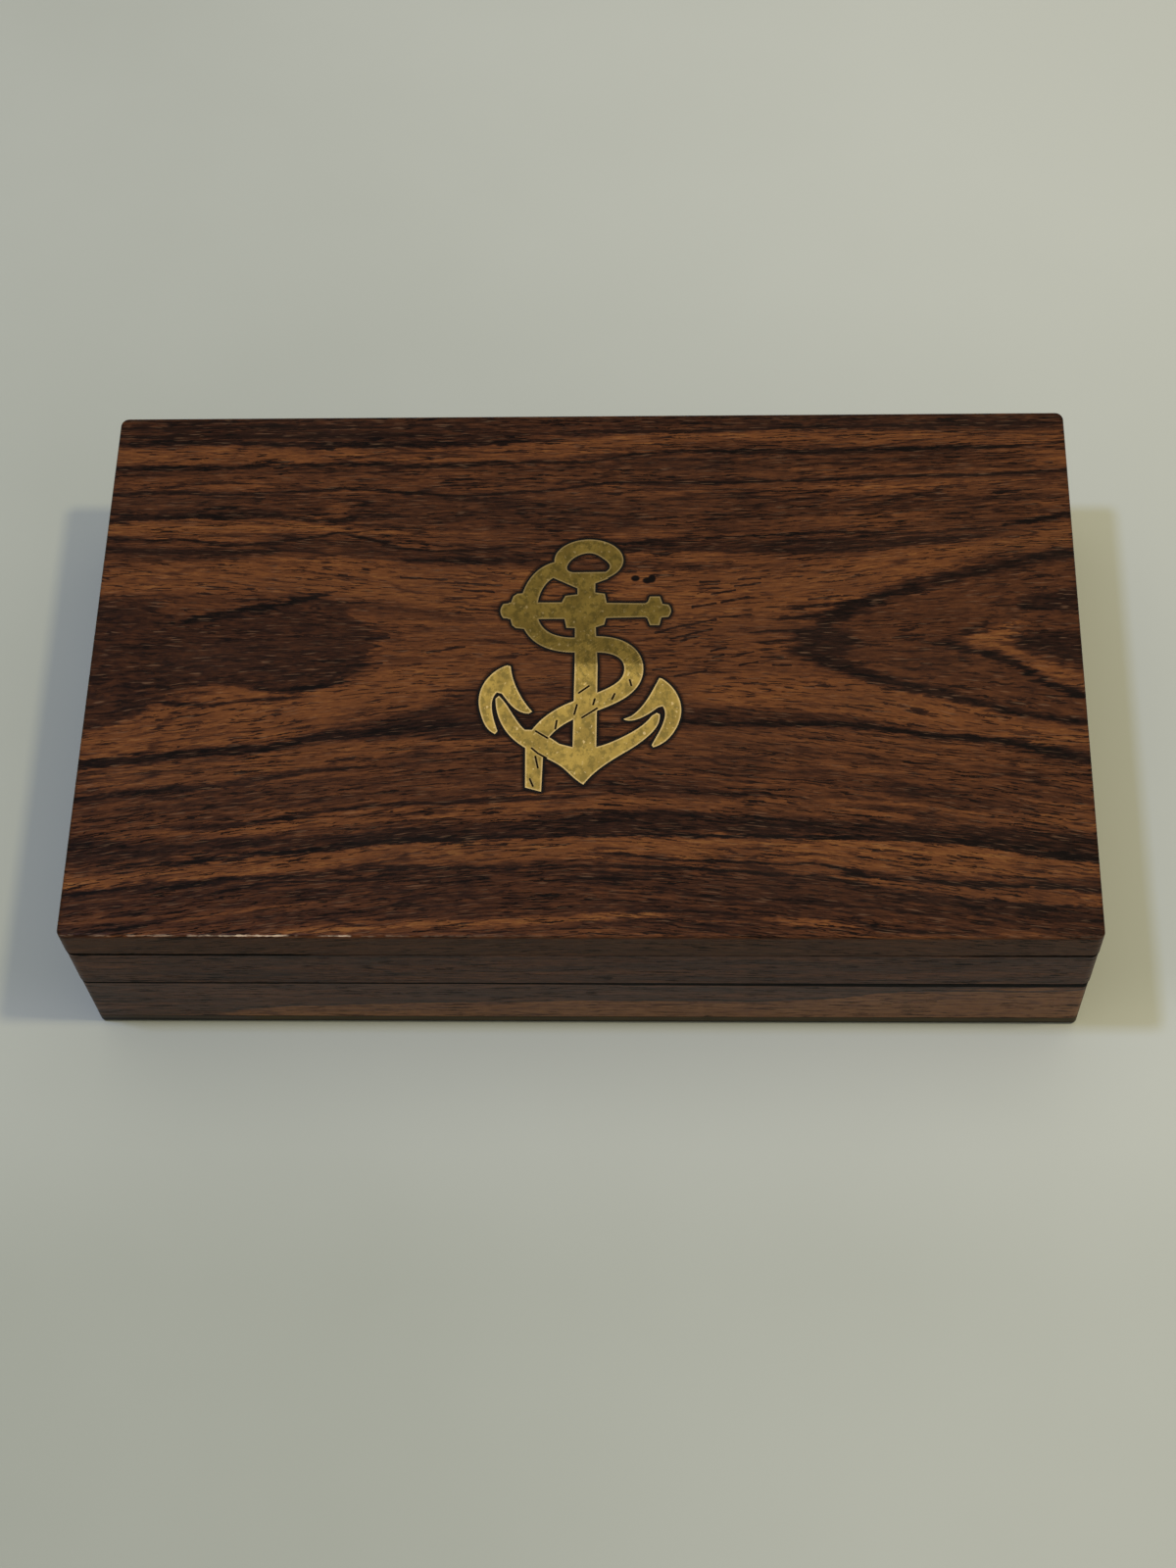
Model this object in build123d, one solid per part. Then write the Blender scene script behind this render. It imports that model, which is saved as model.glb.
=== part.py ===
from build123d import *
import math
import os

# An antique glove box: a shallow mitred base, a thick lid with a brass anchor let into
# it, and two butt hinges at the back. Millimetres. X runs along the front, +Y to the
# back and +Z up. The origin is the centre of the underside.

# Box
box_length = 254.0  # over the lid board
box_depth = 155.0
base_wall_height = 21.5
lid_rail_height = 17.0
lid_board_thickness = 10.5
bottom_panel_thickness = 3.0
baize_thickness = 0.8
wall_thickness = 10.0
rim_gap = 0.4  # between the shut lid and the base
base_inset = 0.4  # base behind the lid board, at the front and both ends
rail_inset = 0.1  # lid rails behind the lid board, all round
baize_inset = 0.4

# Rounded edges
lid_corner_radius = 2.2
base_corner_radius = 1.5
board_top_radius = 1.0
seam_radius = 0.3  # where a board is glued to the walls
rim_radius = 0.4
same_height = 0.001  # edges this near a height lie at it

# Front left corner of the baize, torn away
torn_length = 41.5
torn_depth = 2.4
torn_taper = 3.0

# Brads that hold the bottom panel
brad_length = 13.0
brad_radius = 0.6
brad_head_radius = 1.2
brad_head_thickness = 0.5
brads_per_long_wall = 3
brads_per_end_wall = 2

# Velvet linings
strip_thickness = 1.2
pad_thickness = 2.5
strip_below_rim = 1.0

# Hinges
hinge_spacing = 150.0  # between the middles of the two hinges
hinge_width = 30.0
hinge_setback = 2.0  # pin axis in front of the back face
knuckle_count = 5
knuckle_radius = 2.0
knuckle_gap = 0.15
knuckle_clearance = 0.15  # from a knuckle to the other leaf
groove_clearance = 0.3  # from the barrel to the wood
pin_radius = 1.0
pin_clearance = 0.04  # in the turning knuckles
pin_end_chamfer = 0.25
leaf_thickness = 1.0
wood_before_leaf = 1.0  # from a leaf's front edge to the cavity
leaf_end_clearance = 0.1
lid_travel = 98.0  # degrees
stop_clearance = 1.0  # degrees left between the two bevels at full travel

# Hinge screws
screw_length = 8.0
screw_radius = 0.9
screw_head_radius = 1.5
screw_point_chamfer = 0.45
screw_spacing = 17.0
screw_slot_width = 0.5
screw_slot_depth = 0.45
screw_slot_turns = (20, 75, 130, 155)  # degrees

# Brass inlay
brass_thickness = 1.5
filler_bed = 0.3
filler_width = 0.55
rope_width = 4.4
thick_rope_width = 4.8
curve_steps = 12
chased_width = 0.36
chased_depth = 0.22

# Heights, from the underside up
z_panel = baize_thickness
z_base_wall = z_panel + bottom_panel_thickness
z_rim = z_base_wall + base_wall_height
z_lid = z_rim + rim_gap
z_board = z_lid + lid_rail_height
z_top = z_board + lid_board_thickness

# Pin axis
axis_y = box_depth / 2 - hinge_setback
axis_z = (z_rim + z_lid) / 2
bevel_angle = (lid_travel + stop_clearance) / 2
barrel_groove_radius = knuckle_radius + groove_clearance
leaf_reach = wall_thickness - hinge_setback - wood_before_leaf
screw_from_axis = (barrel_groove_radius + leaf_reach) / 2

# Outlines in plan: left, right, front and back
board_plan = (-box_length / 2, box_length / 2, -box_depth / 2, box_depth / 2)
rail_plan = tuple(v - math.copysign(rail_inset, v) for v in board_plan)
base_plan = (
    board_plan[0] + base_inset,
    board_plan[1] - base_inset,
    board_plan[2] + base_inset,
    board_plan[3],
)

os.makedirs("parts", exist_ok=True)


def save(shape, name):
    export_step(shape, f"parts/{name}.step")


def inset(plan, by):
    left, right, front, back = plan
    return (left + by, right - by, front + by, back - by)


def block(plan, low, high):
    """A plain block over a plan, from one height to another."""
    left, right, front, back = plan
    size = (right - left, back - front, high - low)
    middle = ((left + right) / 2, (front + back) / 2, (low + high) / 2)
    return Pos(*middle) * Box(*size)


def rounded_block(plan, low, high, corner):
    solid = block(plan, low, high)
    return fillet(solid.edges().filter_by(Axis.Z), corner)


def soften(solid, z, radius):
    """Rounds the edges that lie at one height."""
    edges = solid.edges().filter_by_position(Axis.Z, z - same_height, z + same_height)
    return fillet(edges, radius)


def mitred_walls(plan, low, high, corner, rim, seam):
    """The front, back, left and right walls of a frame that is mitred at its corners.

    The edges at the rim's height and at the glued seam's height are softened.
    """
    envelope = rounded_block(plan, low, high, corner)
    envelope = soften(envelope, rim, rim_radius)
    envelope = soften(envelope, seam, seam_radius)
    frame = envelope - block(inset(plan, wall_thickness), low, high)
    left, right, front, back = plan
    reach = (back - front) / 2
    middle = (front + back) / 2
    sectors = {
        "front": [(left, front), (right, front), (right - reach, middle), (left + reach, middle)],
        "back": [(left, back), (right, back), (right - reach, middle), (left + reach, middle)],
        "left": [(left, front), (left, back), (left + reach, middle)],
        "right": [(right, front), (right, back), (right - reach, middle)],
    }
    walls = {}
    for side, points in sectors.items():
        sector = make_face(Polyline(*points, close=True))
        walls[side] = frame & Pos(0, 0, low) * extrude(sector, high - low)
    return walls


def along_x(radius, length, x):
    """A round bar on the pin axis."""
    return Pos(x, axis_y, axis_z) * Rot(0, 90, 0) * Cylinder(radius, length)


def hinge_middles():
    return {"left": -hinge_spacing / 2, "right": hinge_spacing / 2}


def screw_places():
    """The x and y of every screw in one row of leaves."""
    y = axis_y - screw_from_axis
    return [
        (middle + side * screw_spacing / 2, y)
        for middle in hinge_middles().values()
        for side in (-1, 1)
    ]


# Screws and leaves are drawn for the base, and turned over for the lid.
def turned_to_lid(shape):
    return shape.mirror(Plane.XY.offset(axis_z))


def screw(x, y, slot_turn):
    """A countersunk screw whose slotted head is flush with the base's rim."""
    head = Pos(x, y, z_rim - leaf_thickness / 2) * Cone(screw_radius, screw_head_radius, leaf_thickness)
    shank_length = screw_length - leaf_thickness
    shank = Pos(x, y, z_rim - leaf_thickness - shank_length / 2) * Cylinder(screw_radius, shank_length)
    point = shank.edges().sort_by(Axis.Z)[0]
    shank = chamfer(point, screw_point_chamfer)
    slot_size = (2 * screw_head_radius, screw_slot_width, screw_slot_depth)
    slot = Pos(x, y, z_rim - screw_slot_depth / 2) * Rot(0, 0, slot_turn) * Box(*slot_size)
    return head + shank - slot


def knuckles(middle, leaf):
    """The lower leaf has the odd knuckles of the barrel, and the upper leaf the even ones."""
    pitch = (hinge_width + knuckle_gap) / knuckle_count
    first = 0 if leaf == "lower" else 1
    start = middle - hinge_width / 2
    return [start + pitch * i for i in range(first, knuckle_count, 2)], pitch - knuckle_gap


def hinge_leaf(middle, leaf):
    """One leaf with its knuckles, drawn as the lower leaf."""
    other = "upper" if leaf == "lower" else "lower"
    left, right = middle - hinge_width / 2, middle + hinge_width / 2
    plate = block((left, right, axis_y - leaf_reach, axis_y), z_rim - leaf_thickness, z_rim)
    starts, length = knuckles(middle, other)
    for start in starts:
        cut = along_x(knuckle_radius + knuckle_clearance, length + 2 * knuckle_gap, start + length / 2)
        plate -= cut
    starts, length = knuckles(middle, leaf)
    for start in starts:
        plate += along_x(knuckle_radius, length, start + length / 2)
    bore = pin_radius if leaf == "lower" else pin_radius + pin_clearance
    plate -= along_x(bore, hinge_width, middle)
    for x, y in screw_places():
        plate -= Pos(x, y, z_rim - leaf_thickness / 2) * Cone(
            screw_radius, screw_head_radius, leaf_thickness
        )
    return plate


def hinge_cuts():
    """Everything that the hinges take out of the base's back wall."""
    cuts = []
    for middle in hinge_middles().values():
        left = middle - hinge_width / 2 - leaf_end_clearance
        right = middle + hinge_width / 2 + leaf_end_clearance
        seat = (left, right, axis_y - leaf_reach - leaf_end_clearance, axis_y)
        cuts.append(block(seat, z_rim - leaf_thickness, z_lid))
        cuts.append(along_x(barrel_groove_radius, right - left, middle))
    for x, y in screw_places():
        cuts.append(Pos(x, y, z_rim - screw_length / 2) * Cylinder(screw_radius, screw_length))
    return cuts


def stop_bevel():
    """The wedge above a plane that falls from the pin axis to the back of the base."""
    reach = hinge_setback + wall_thickness
    fall = reach * math.tan(math.radians(bevel_angle))
    points = [(axis_y, axis_z), (axis_y + reach, axis_z - fall), (axis_y + reach, axis_z)]
    section = Plane.YZ * make_face(Polyline(*points, close=True))
    return Pos(-box_length / 2, 0, 0) * extrude(section, box_length)


def outline(*stretches):
    """A flat face edged by stretches that each end where the next begins.

    A stretch of one point is straight, and a longer one is a smooth curve.
    """
    edges = []
    for stretch, following in zip(stretches, stretches[1:] + stretches[:1]):
        points = [*stretch, following[0]]
        edges.append(Line(*points) if len(points) == 2 else Spline(*points))
    return make_face(edges)


def stations():
    """Evenly spaced places along a curve."""
    return [i / curve_steps for i in range(curve_steps + 1)]


def grown(plan, by):
    """The plan with its edge moved outward, drawn again in plain lines, arcs and curves."""
    edges = []
    for edge in offset(plan, by).edges():
        if edge.geom_type == GeomType.OFFSET:
            edge = Spline(*[edge @ s for s in stations()])
        edges.append(edge)
    return make_face(edges)


def band(points, width):
    """A flat band of one width along a smooth line."""
    line = Spline(*points)
    sides = []
    for turn in (90, -90):
        out = [line @ s + (line % s).rotate(Axis.Z, turn) * width / 2 for s in stations()]
        sides.append(Spline(*out))
    left, right = sides
    return make_face([left, Line(left @ 1, right @ 1), right, Line(right @ 0, left @ 0)])


# The anchor lies with its ring to the back of the lid.
def anchor_plan(grow):
    """The anchor's plate from overlapping shapes, each grown by one amount."""
    ring = Pos(1.0, 30.8) * Ellipse(9.0 + grow, 6.5 + grow)
    shapes = [
        outline(
            [(-1.7, 20.0)], [(2.8, 20.0)], [(2.8, 23.7)], [(6.2, 25.2)], [(-2.0, 27.0)], [(-7.0, 27.5)],
            [(-8.3, 25.5)], [(-1.8, 22.2)]
        ),
        outline(
            [(-2.2, 11.0)], [(3.1, 11.0)], [(3.8, -1.0)], [(3.9, -26.0)], [(-2.0, -26.0)], [(-2.0, -1.0)]
        ),
        outline(
            [(-5.7, 18.1)], [(-4.9, 19.9)], [(-1.9, 20.3)], [(2.7, 20.9)], [(5.3, 20.5)], [(5.8, 18.0)],
            [(5.8, 13.3)], [(5.3, 11.1)], [(3.0, 10.3)], [(-2.2, 10.1)], [(-4.4, 10.2)], [(-4.9, 12.7)]
        ),
        outline(
            [(-19.5, 17.9)], [(-5.0, 17.9)], [(17.5, 17.5)], [(17.5, 13.4)], [(-5.0, 12.9)], [(-19.5, 12.9)]
        ),
        outline(
            [(-18.9, 18.0)], [(-18.4, 19.8)], [(-17.4, 20.6)], [(-15.2, 20.8)], [(-14.4, 9.8)],
            [(-17.5, 10.2)], [(-18.4, 11.0)], [(-18.9, 12.8)]
        ),
        outline(
            [(15.6, 17.4)], [(16.5, 18.0)], [(17.0, 19.6)], [(19.6, 19.6)], [(20.2, 17.7)], [(20.0, 13.2)],
            [(19.5, 10.9)], [(17.1, 10.9)], [(16.4, 13.0)], [(15.6, 13.5)]
        ),
        outline([(-18.5, 17.8)], [(-20.9, 17.5), (-21.6, 15.5)], [(-20.8, 13.2)], [(-18.5, 13.0)]),
        outline([(19.8, 17.4)], [(21.8, 17.1), (22.5, 15.3)], [(21.8, 13.4)], [(19.8, 13.2)]),
        outline([(-13.9, -25.0)], [(-9.4, -26.5)], [(-9.6, -37.6)], [(-13.6, -36.4)]),
        outline(
            [(-21.1, -10.0), (-18.9, -12.9), (-16.9, -16.3)],
            [(-14.2, -19.9)],
            [(-11.4, -20.0)],
            [(-7.2, -22.6)],
            [(-5.4, -24.0)],
            [(-1.9, -25.0), (4.3, -24.8), (8.1, -23.3), (12.1, -21.1), (15.6, -18.5)],
            [(17.8, -15.9)],
            [(19.0, -15.1)],
            [(19.8, -15.5), (19.2, -18.7), (16.8, -21.9), (13.2, -25.0), (9.7, -27.4), (5.3, -30.7)],
            [(0.9, -35.6), (-2.2, -33.0), (-4.6, -30.6), (-8.8, -28.0), (-14.1, -25.0), (-17.7, -21.9),
             (-20.1, -18.3), (-21.5, -14.3)],
            [(-21.9, -10.8)],
        ),
    ]
    ropes = [
        band([(-4.5, 28.3), (-9.5, 27.2), (-13.1, 22.5), (-14.3, 17.0), (-13.6, 11.5), (-10.6, 7.4),
              (-6.5, 5.5), (0.0, 5.2)], rope_width + 2 * grow),
        band([(1.0, 5.2), (6.0, 5.0), (10.4, 3.3), (12.8, 0.0), (13.0, -3.2), (11.5, -6.9), (8.0, -9.7),
              (3.0, -12.2), (-2.0, -14.2), (-6.4, -16.9), (-10.4, -21.3)], thick_rope_width + 2 * grow),
    ]
    ring_hole = outline(
        [(-3.0, 27.1), (-4.7, 28.4), (-4.1, 30.2), (-2.0, 32.2), (1.8, 33.0), (4.8, 31.3), (6.5, 29.2)],
        [(5.4, 27.2)],
    )
    plate = ring
    for shape in shapes:
        plate += grown(shape, grow) if grow else shape
    for rope in ropes:
        plate += rope
    return plate - (grown(ring_hole, -grow) if grow else ring_hole)


def left_fluke():
    return outline(
        [(-19.3, -1.0)],
        [(-18.4, -1.3), (-17.8, -4.5), (-16.0, -9.2), (-14.1, -12.5)],
        [(-12.5, -14.6)],
        [(-13.3, -15.2), (-16.6, -14.0), (-18.8, -11.6)],
        [(-20.4, -9.3)],
        [(-21.7, -9.0), (-22.7, -11.2), (-22.7, -14.3), (-22.1, -17.1)],
        [(-21.1, -20.3)],
        [(-21.7, -21.1), (-23.5, -19.7), (-25.2, -16.3), (-26.15, -11.9), (-25.6, -7.7), (-23.75, -4.3)],
    )


def right_fluke():
    return outline(
        [(19.6, -4.9)],
        [(20.2, -5.0), (23.2, -8.0), (24.6, -10.8), (25.2, -14.3), (24.6, -17.9), (22.8, -21.5),
         (20.0, -24.2)],
        [(18.2, -25.0)],
        [(17.8, -24.4), (19.2, -21.5), (20.7, -17.9), (21.1, -14.7)],
        [(20.5, -13.1)],
        [(19.3, -13.5), (17.2, -15.2), (14.4, -16.8), (11.9, -17.3)],
        [(10.6, -16.9)],
        [(12.6, -16.0), (15.6, -12.7), (17.6, -9.2)],
    )


# Fine lines chased into the anchor's face
chased_lines = [
    ((-11.4, -20.3), (-8.4, -22.3)),
    ((-12.3, -25.2), (-10.7, -26.7)),
    ((-10.7, -26.7), (-8.6, -28.0)),
    ((-11.3, -27.6), (-10.6, -30.8)),
    ((-12.5, -34.0), (-11.7, -36.0)),
    ((-6.2, -17.3), (-6.5, -19.6)),
    ((-1.2, -12.7), (-1.8, -15.4)),
    ((3.3, -11.0), (2.9, -12.6)),
    ((8.3, -9.5), (7.7, -11.0)),
    ((12.1, -5.4), (12.5, -7.0)),
    ((-0.8, -9.2), (1.7, -7.2)),
    ((0.2, -16.4), (3.9, -13.7)),
]


def chased_groove(start, end):
    """A shallow straight cut in the top of the brass."""
    along = Vector(*end) - Vector(*start)
    middle = (Vector(*start) + Vector(*end)) / 2
    turn = math.degrees(math.atan2(along.Y, along.X))
    groove = Rectangle(along.length, chased_width)
    return Pos(middle.X, middle.Y, z_top - chased_depth) * Rot(0, 0, turn) * extrude(groove, chased_depth)


def brads():
    """Headed brads up through the bottom panel, along the middle of each wall."""
    left, right, front, back = inset(base_plan, wall_thickness / 2)
    places = []
    for i in range(brads_per_long_wall):
        x = left + (right - left) * (i + 0.5) / brads_per_long_wall
        places += [(x, front), (x, back)]
    for i in range(brads_per_end_wall):
        y = front + (back - front) * (i + 0.5) / brads_per_end_wall
        places += [(left, y), (right, y)]
    head = Pos(0, 0, z_panel + brad_head_thickness / 2) * Cylinder(brad_head_radius, brad_head_thickness)
    shank = Pos(0, 0, z_panel + brad_length / 2) * Cylinder(brad_radius, brad_length)
    return [Pos(x, y) * (head + shank) for x, y in places]


def torn_corner():
    """What is missing at the front left corner of the baize."""
    left, _, front, _ = base_plan
    right = left + torn_length
    corners = [
        (left, front),
        (left, front + torn_depth),
        (right - torn_taper, front + torn_depth),
        (right, front),
    ]
    return extrude(make_face(Polyline(*corners, close=True)), z_panel)


def base():
    """Walls, bottom panel, brads and baize."""
    walls = mitred_walls(base_plan, z_base_wall, z_rim, base_corner_radius, z_rim, z_base_wall)
    for side in ("back", "left", "right"):
        walls[side] -= stop_bevel()
    for cut in hinge_cuts():
        walls["back"] -= cut
    panel = rounded_block(base_plan, z_panel, z_base_wall, base_corner_radius)
    baize_plan = inset(base_plan, baize_inset)
    baize = rounded_block(baize_plan, 0, z_panel, base_corner_radius) - torn_corner()

    fixings = brads()
    for brad in fixings:
        panel -= brad
        for side in walls:
            walls[side] -= brad
    for side, wall in walls.items():
        save(wall, f"base_{side}_wall")
    save(panel, "bottom_panel")
    save(Compound(children=fixings), "panel_brads")
    save(baize, "base_baize")


def linings(plan, low, high, pad_low, part, pad_name):
    """Four strips round the inside of a frame, and a pad that lies between them."""
    left, right, front, back = plan
    inner = inset(plan, strip_thickness)
    strips = {
        "front": (left, right, front, inner[2]),
        "back": (left, right, inner[3], back),
        "left": (left, inner[0], inner[2], inner[3]),
        "right": (inner[1], right, inner[2], inner[3]),
    }
    for side, strip_plan in strips.items():
        save(block(strip_plan, low, high), f"{part}_lining_{side}")
    save(block(inner, pad_low, pad_low + pad_thickness), pad_name)


def lid():
    """Rails, and the board with its inlay."""
    rails = mitred_walls(rail_plan, z_lid, z_board, lid_corner_radius, z_lid, z_board)
    for side in ("back", "left", "right"):
        rails[side] -= turned_to_lid(stop_bevel())
    for cut in hinge_cuts():
        rails["back"] -= turned_to_lid(cut)
    for side, rail in rails.items():
        save(rail, f"lid_{side}_rail")

    board = rounded_block(board_plan, z_board, z_top, lid_corner_radius)
    board = soften(board, z_top, board_top_radius)
    board = soften(board, z_board, seam_radius)
    save(inlaid(board), "lid_board")


def sunk(plan, depth):
    """A plan cut down from the top of the lid."""
    return Pos(0, 0, z_top - depth) * extrude(plan, depth)


def inlaid(board):
    """Lets the brass plates into the board, with black filler round and under them."""
    plates = {
        "anchor_inlay": sunk(anchor_plan(0), brass_thickness),
        "left_fluke_inlay": sunk(left_fluke(), brass_thickness),
        "right_fluke_inlay": sunk(right_fluke(), brass_thickness),
    }
    pocket_plans = [
        anchor_plan(filler_width),
        grown(left_fluke(), filler_width),
        grown(right_fluke(), filler_width),
    ]
    filler = []
    for plan in pocket_plans:
        pocket = sunk(plan, brass_thickness + filler_bed)
        filling = board & pocket
        for plate in plates.values():
            filling -= plate
        filler.append(filling)
        board -= pocket
    for start, end in chased_lines:
        plates["anchor_inlay"] -= chased_groove(start, end)
    for name, plate in plates.items():
        save(plate, name)
    save(Compound(children=filler), "inlay_filler")
    return board


def hinges():
    for side, middle in hinge_middles().items():
        save(hinge_leaf(middle, "lower"), f"hinge_{side}_lower_leaf")
        save(turned_to_lid(hinge_leaf(middle, "upper")), f"hinge_{side}_upper_leaf")
        pin = along_x(pin_radius, hinge_width, middle)
        save(chamfer(pin.edges().filter_by(GeomType.CIRCLE), pin_end_chamfer), f"hinge_{side}_pin")
    screws = [screw(x, y, turn) for (x, y), turn in zip(screw_places(), screw_slot_turns)]
    save(Compound(children=screws), "lower_hinge_screws")
    save(Compound(children=[turned_to_lid(one) for one in screws]), "upper_hinge_screws")


base()
base_cavity = inset(base_plan, wall_thickness)
linings(base_cavity, z_base_wall, z_rim - strip_below_rim, z_base_wall, "base", "base_floor_lining")
lid()
lid_cavity = inset(rail_plan, wall_thickness)
linings(lid_cavity, z_lid + strip_below_rim, z_board, z_board - pad_thickness, "lid", "lid_top_lining")
hinges()
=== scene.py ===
"""The looks of the antique glove box: rosewood, inlaid brass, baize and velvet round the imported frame."""

import math
import bmesh
import bpy
from mathutils import Matrix, Vector, noise


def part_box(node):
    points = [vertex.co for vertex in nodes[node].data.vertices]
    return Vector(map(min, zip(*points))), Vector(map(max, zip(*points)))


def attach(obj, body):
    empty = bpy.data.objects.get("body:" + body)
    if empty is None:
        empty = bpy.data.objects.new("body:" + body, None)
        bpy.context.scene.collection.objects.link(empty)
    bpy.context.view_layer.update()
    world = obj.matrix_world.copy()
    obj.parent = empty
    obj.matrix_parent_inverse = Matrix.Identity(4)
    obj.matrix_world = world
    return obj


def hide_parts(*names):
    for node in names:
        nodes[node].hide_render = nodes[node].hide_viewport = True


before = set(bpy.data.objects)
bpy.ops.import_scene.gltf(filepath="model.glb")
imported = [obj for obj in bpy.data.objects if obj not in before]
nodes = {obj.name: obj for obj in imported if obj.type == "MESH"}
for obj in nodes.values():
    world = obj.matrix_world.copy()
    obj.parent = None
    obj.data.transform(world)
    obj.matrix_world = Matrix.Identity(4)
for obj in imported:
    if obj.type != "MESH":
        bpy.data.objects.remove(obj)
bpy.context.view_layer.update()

MM = 0.001

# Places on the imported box, in millimetres
TOP_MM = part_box("lid_board")[1].z / MM
FRONT_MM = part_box("lid_board")[0].y / MM
HALF_LONG_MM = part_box("lid_board")[1].x / MM
JOINT_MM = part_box("lid_front_rail")[1].z / MM
RIM_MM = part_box("base_front_wall")[1].z / MM
PANEL_LOW_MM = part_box("bottom_panel")[0].z / MM


def colour(red, green, blue):
    """A linear colour from the eight bit values of a screen."""
    def linear(value):
        share = value / 255
        return share / 12.92 if share <= 0.04045 else ((share + 0.055) / 1.055) ** 2.4
    return (linear(red), linear(green), linear(blue), 1.0)


# ---------------- patterns made of nodes

class Pattern:
    """The nodes of one material. Numbers and sockets both go in as values, and places are in millimetres."""

    def __init__(self, name):
        self.material = bpy.data.materials.new(name)
        self.material.use_nodes = True
        self.tree = self.material.node_tree
        self.tree.nodes.clear()
        place = self.node("TexCoord").outputs["Object"]
        scaled = self.vector_math("MULTIPLY", place, (1 / MM,) * 3)
        self.x, self.y, self.z = self.node("SeparateXYZ", {0: scaled}).outputs
        facing = self.node("TexCoord").outputs["Normal"]
        self.facing_z = self.node("SeparateXYZ", {0: facing}).outputs[2]

    def node(self, kind, values=(), **settings):
        made = self.tree.nodes.new("ShaderNode" + kind)
        for name, setting in settings.items():
            setattr(made, name, setting)
        for socket, value in dict(values).items():
            if isinstance(value, bpy.types.NodeSocket):
                self.tree.links.new(value, made.inputs[socket])
            else:
                made.inputs[socket].default_value = value
        return made

    def math(self, operation, *values):
        return self.node("Math", dict(enumerate(values)), operation=operation).outputs[0]

    def vector_math(self, operation, *values, output=0):
        return self.node("VectorMath", dict(enumerate(values)), operation=operation).outputs[output]

    def add(self, *values):
        total = values[0]
        for value in values[1:]:
            total = self.math("ADD", total, value)
        return total

    def less(self, first, second):
        return self.math("SUBTRACT", first, second)

    def times(self, first, second):
        return self.math("MULTIPLY", first, second)

    def size_of(self, value):
        return self.math("ABSOLUTE", value)

    def apart(self, first, second):
        return self.size_of(self.less(first, second))

    def largest(self, first, second):
        return self.math("MAXIMUM", first, second)

    def scaled_sum(self, value, scale, offset):
        return self.math("MULTIPLY_ADD", value, scale, offset)

    def swing(self, value, reach):
        """Spreads a noise, which runs from 0 to 1, from -reach to reach."""
        return self.scaled_sum(value, 2 * reach, -reach)

    def rise(self, value, start, end, low=0.0, high=1.0):
        """From low to high, smoothly, as value goes from start to end."""
        made = self.node("MapRange", {0: value, 1: start, 2: end, 3: low, 4: high})
        made.interpolation_type = "SMOOTHSTEP"
        return made.outputs[0]

    def mix(self, share, first, second):
        return self.node("Mix", {0: share, 2: first, 3: second}).outputs[0]

    def tint(self, share, first, second):
        return self.node("Mix", {0: share, 6: first, 7: second}, data_type="RGBA").outputs[2]

    def noise(self, along, across, depth, detail=3.0, roughness=0.55):
        place = self.node("CombineXYZ", {0: along, 1: across, 2: depth}).outputs[0]
        values = {"Vector": place, "Scale": 1.0, "Detail": detail, "Roughness": roughness}
        return self.node("TexNoise", values).outputs[0]

    def grain_noise(self, along, across, seed, length, width, detail=3.0, roughness=0.55):
        """Noise in streaks about length by width, both in millimetres."""
        along, across = self.times(along, 1 / length), self.times(across, 1 / width)
        return self.noise(along, across, seed, detail, roughness)

    def plan_noise(self, per_x, per_y, seed, detail=3.0, roughness=0.55):
        """Noise in plan, with about per_x and per_y lumps to the millimetre."""
        return self.noise(self.times(self.x, per_x), self.times(self.y, per_y), seed, detail, roughness)

    def near_edge(self, reach_mm):
        """From 0 inside a flat face to 1 at its sharp edge, over about reach_mm."""
        flat = self.node("NewGeometry").outputs["Normal"]
        rounded = self.node("Bevel", {"Radius": reach_mm * MM}, samples=6).outputs[0]
        return self.rise(self.vector_math("DOT_PRODUCT", flat, rounded, output="Value"), 0.998, 0.90)

    def ramp(self, value, stops):
        made = self.node("ValToRGB", {0: value})
        ends = made.color_ramp.elements
        while len(ends) < len(stops):
            ends.new(1.0)
        for end, (place, shade) in zip(ends, stops):
            end.position = place
            end.color = shade
        return made.outputs[0]

    def curve(self, value, points, low, high):
        """A smooth line through points whose second values lie from low to high. value runs from 0 to 1."""
        made = self.node("FloatCurve", {1: value})
        line = made.mapping.curves[0]
        made.mapping.extend = "HORIZONTAL"
        while len(line.points) < len(points):
            line.points.new(0.5, 0.5)
        for point, (place, level) in zip(line.points, points):
            point.location = (place, (level - low) / (high - low))
        made.mapping.update()
        return self.scaled_sum(made.outputs[0], high - low, low)

    def smear(self, from_x, from_y, to_x, to_y, width, shift=0.0):
        """A short smear, full along its middle, between two places in plan. shift moves it across."""
        length = math.hypot(to_x - from_x, to_y - from_y)
        middle = ((from_x + to_x) / 2, (from_y + to_y) / 2, 0)
        angle = math.atan2(to_y - from_y, to_x - from_x)
        place = self.node("CombineXYZ", {0: self.x, 1: self.add(self.y, shift)}).outputs[0]
        turned = self.node("Mapping", {"Vector": place, "Location": middle, "Rotation": (0, 0, angle)},
                           vector_type="TEXTURE").outputs[0]
        folded = self.vector_math("ABSOLUTE", turned)
        beyond = self.vector_math("SUBTRACT", folded, (length / 2, 0, 0))
        outside = self.vector_math("MAXIMUM", beyond, (0, 0, 0))
        away = self.vector_math("LENGTH", outside, output="Value")
        return self.rise(away, width, 0.4 * width)

    def finish(self, shader_values, height=None, height_mm=0.1):
        """The shader, with height as a bump of height_mm."""
        if height is not None:
            bump = self.node("Bump", {"Height": height, "Distance": height_mm * MM, "Strength": 1.0})
            shader_values["Normal"] = bump.outputs[0]
        shader = self.node("BsdfPrincipled", shader_values)
        self.node("OutputMaterial", {0: shader.outputs[0]})
        return self.material


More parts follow.
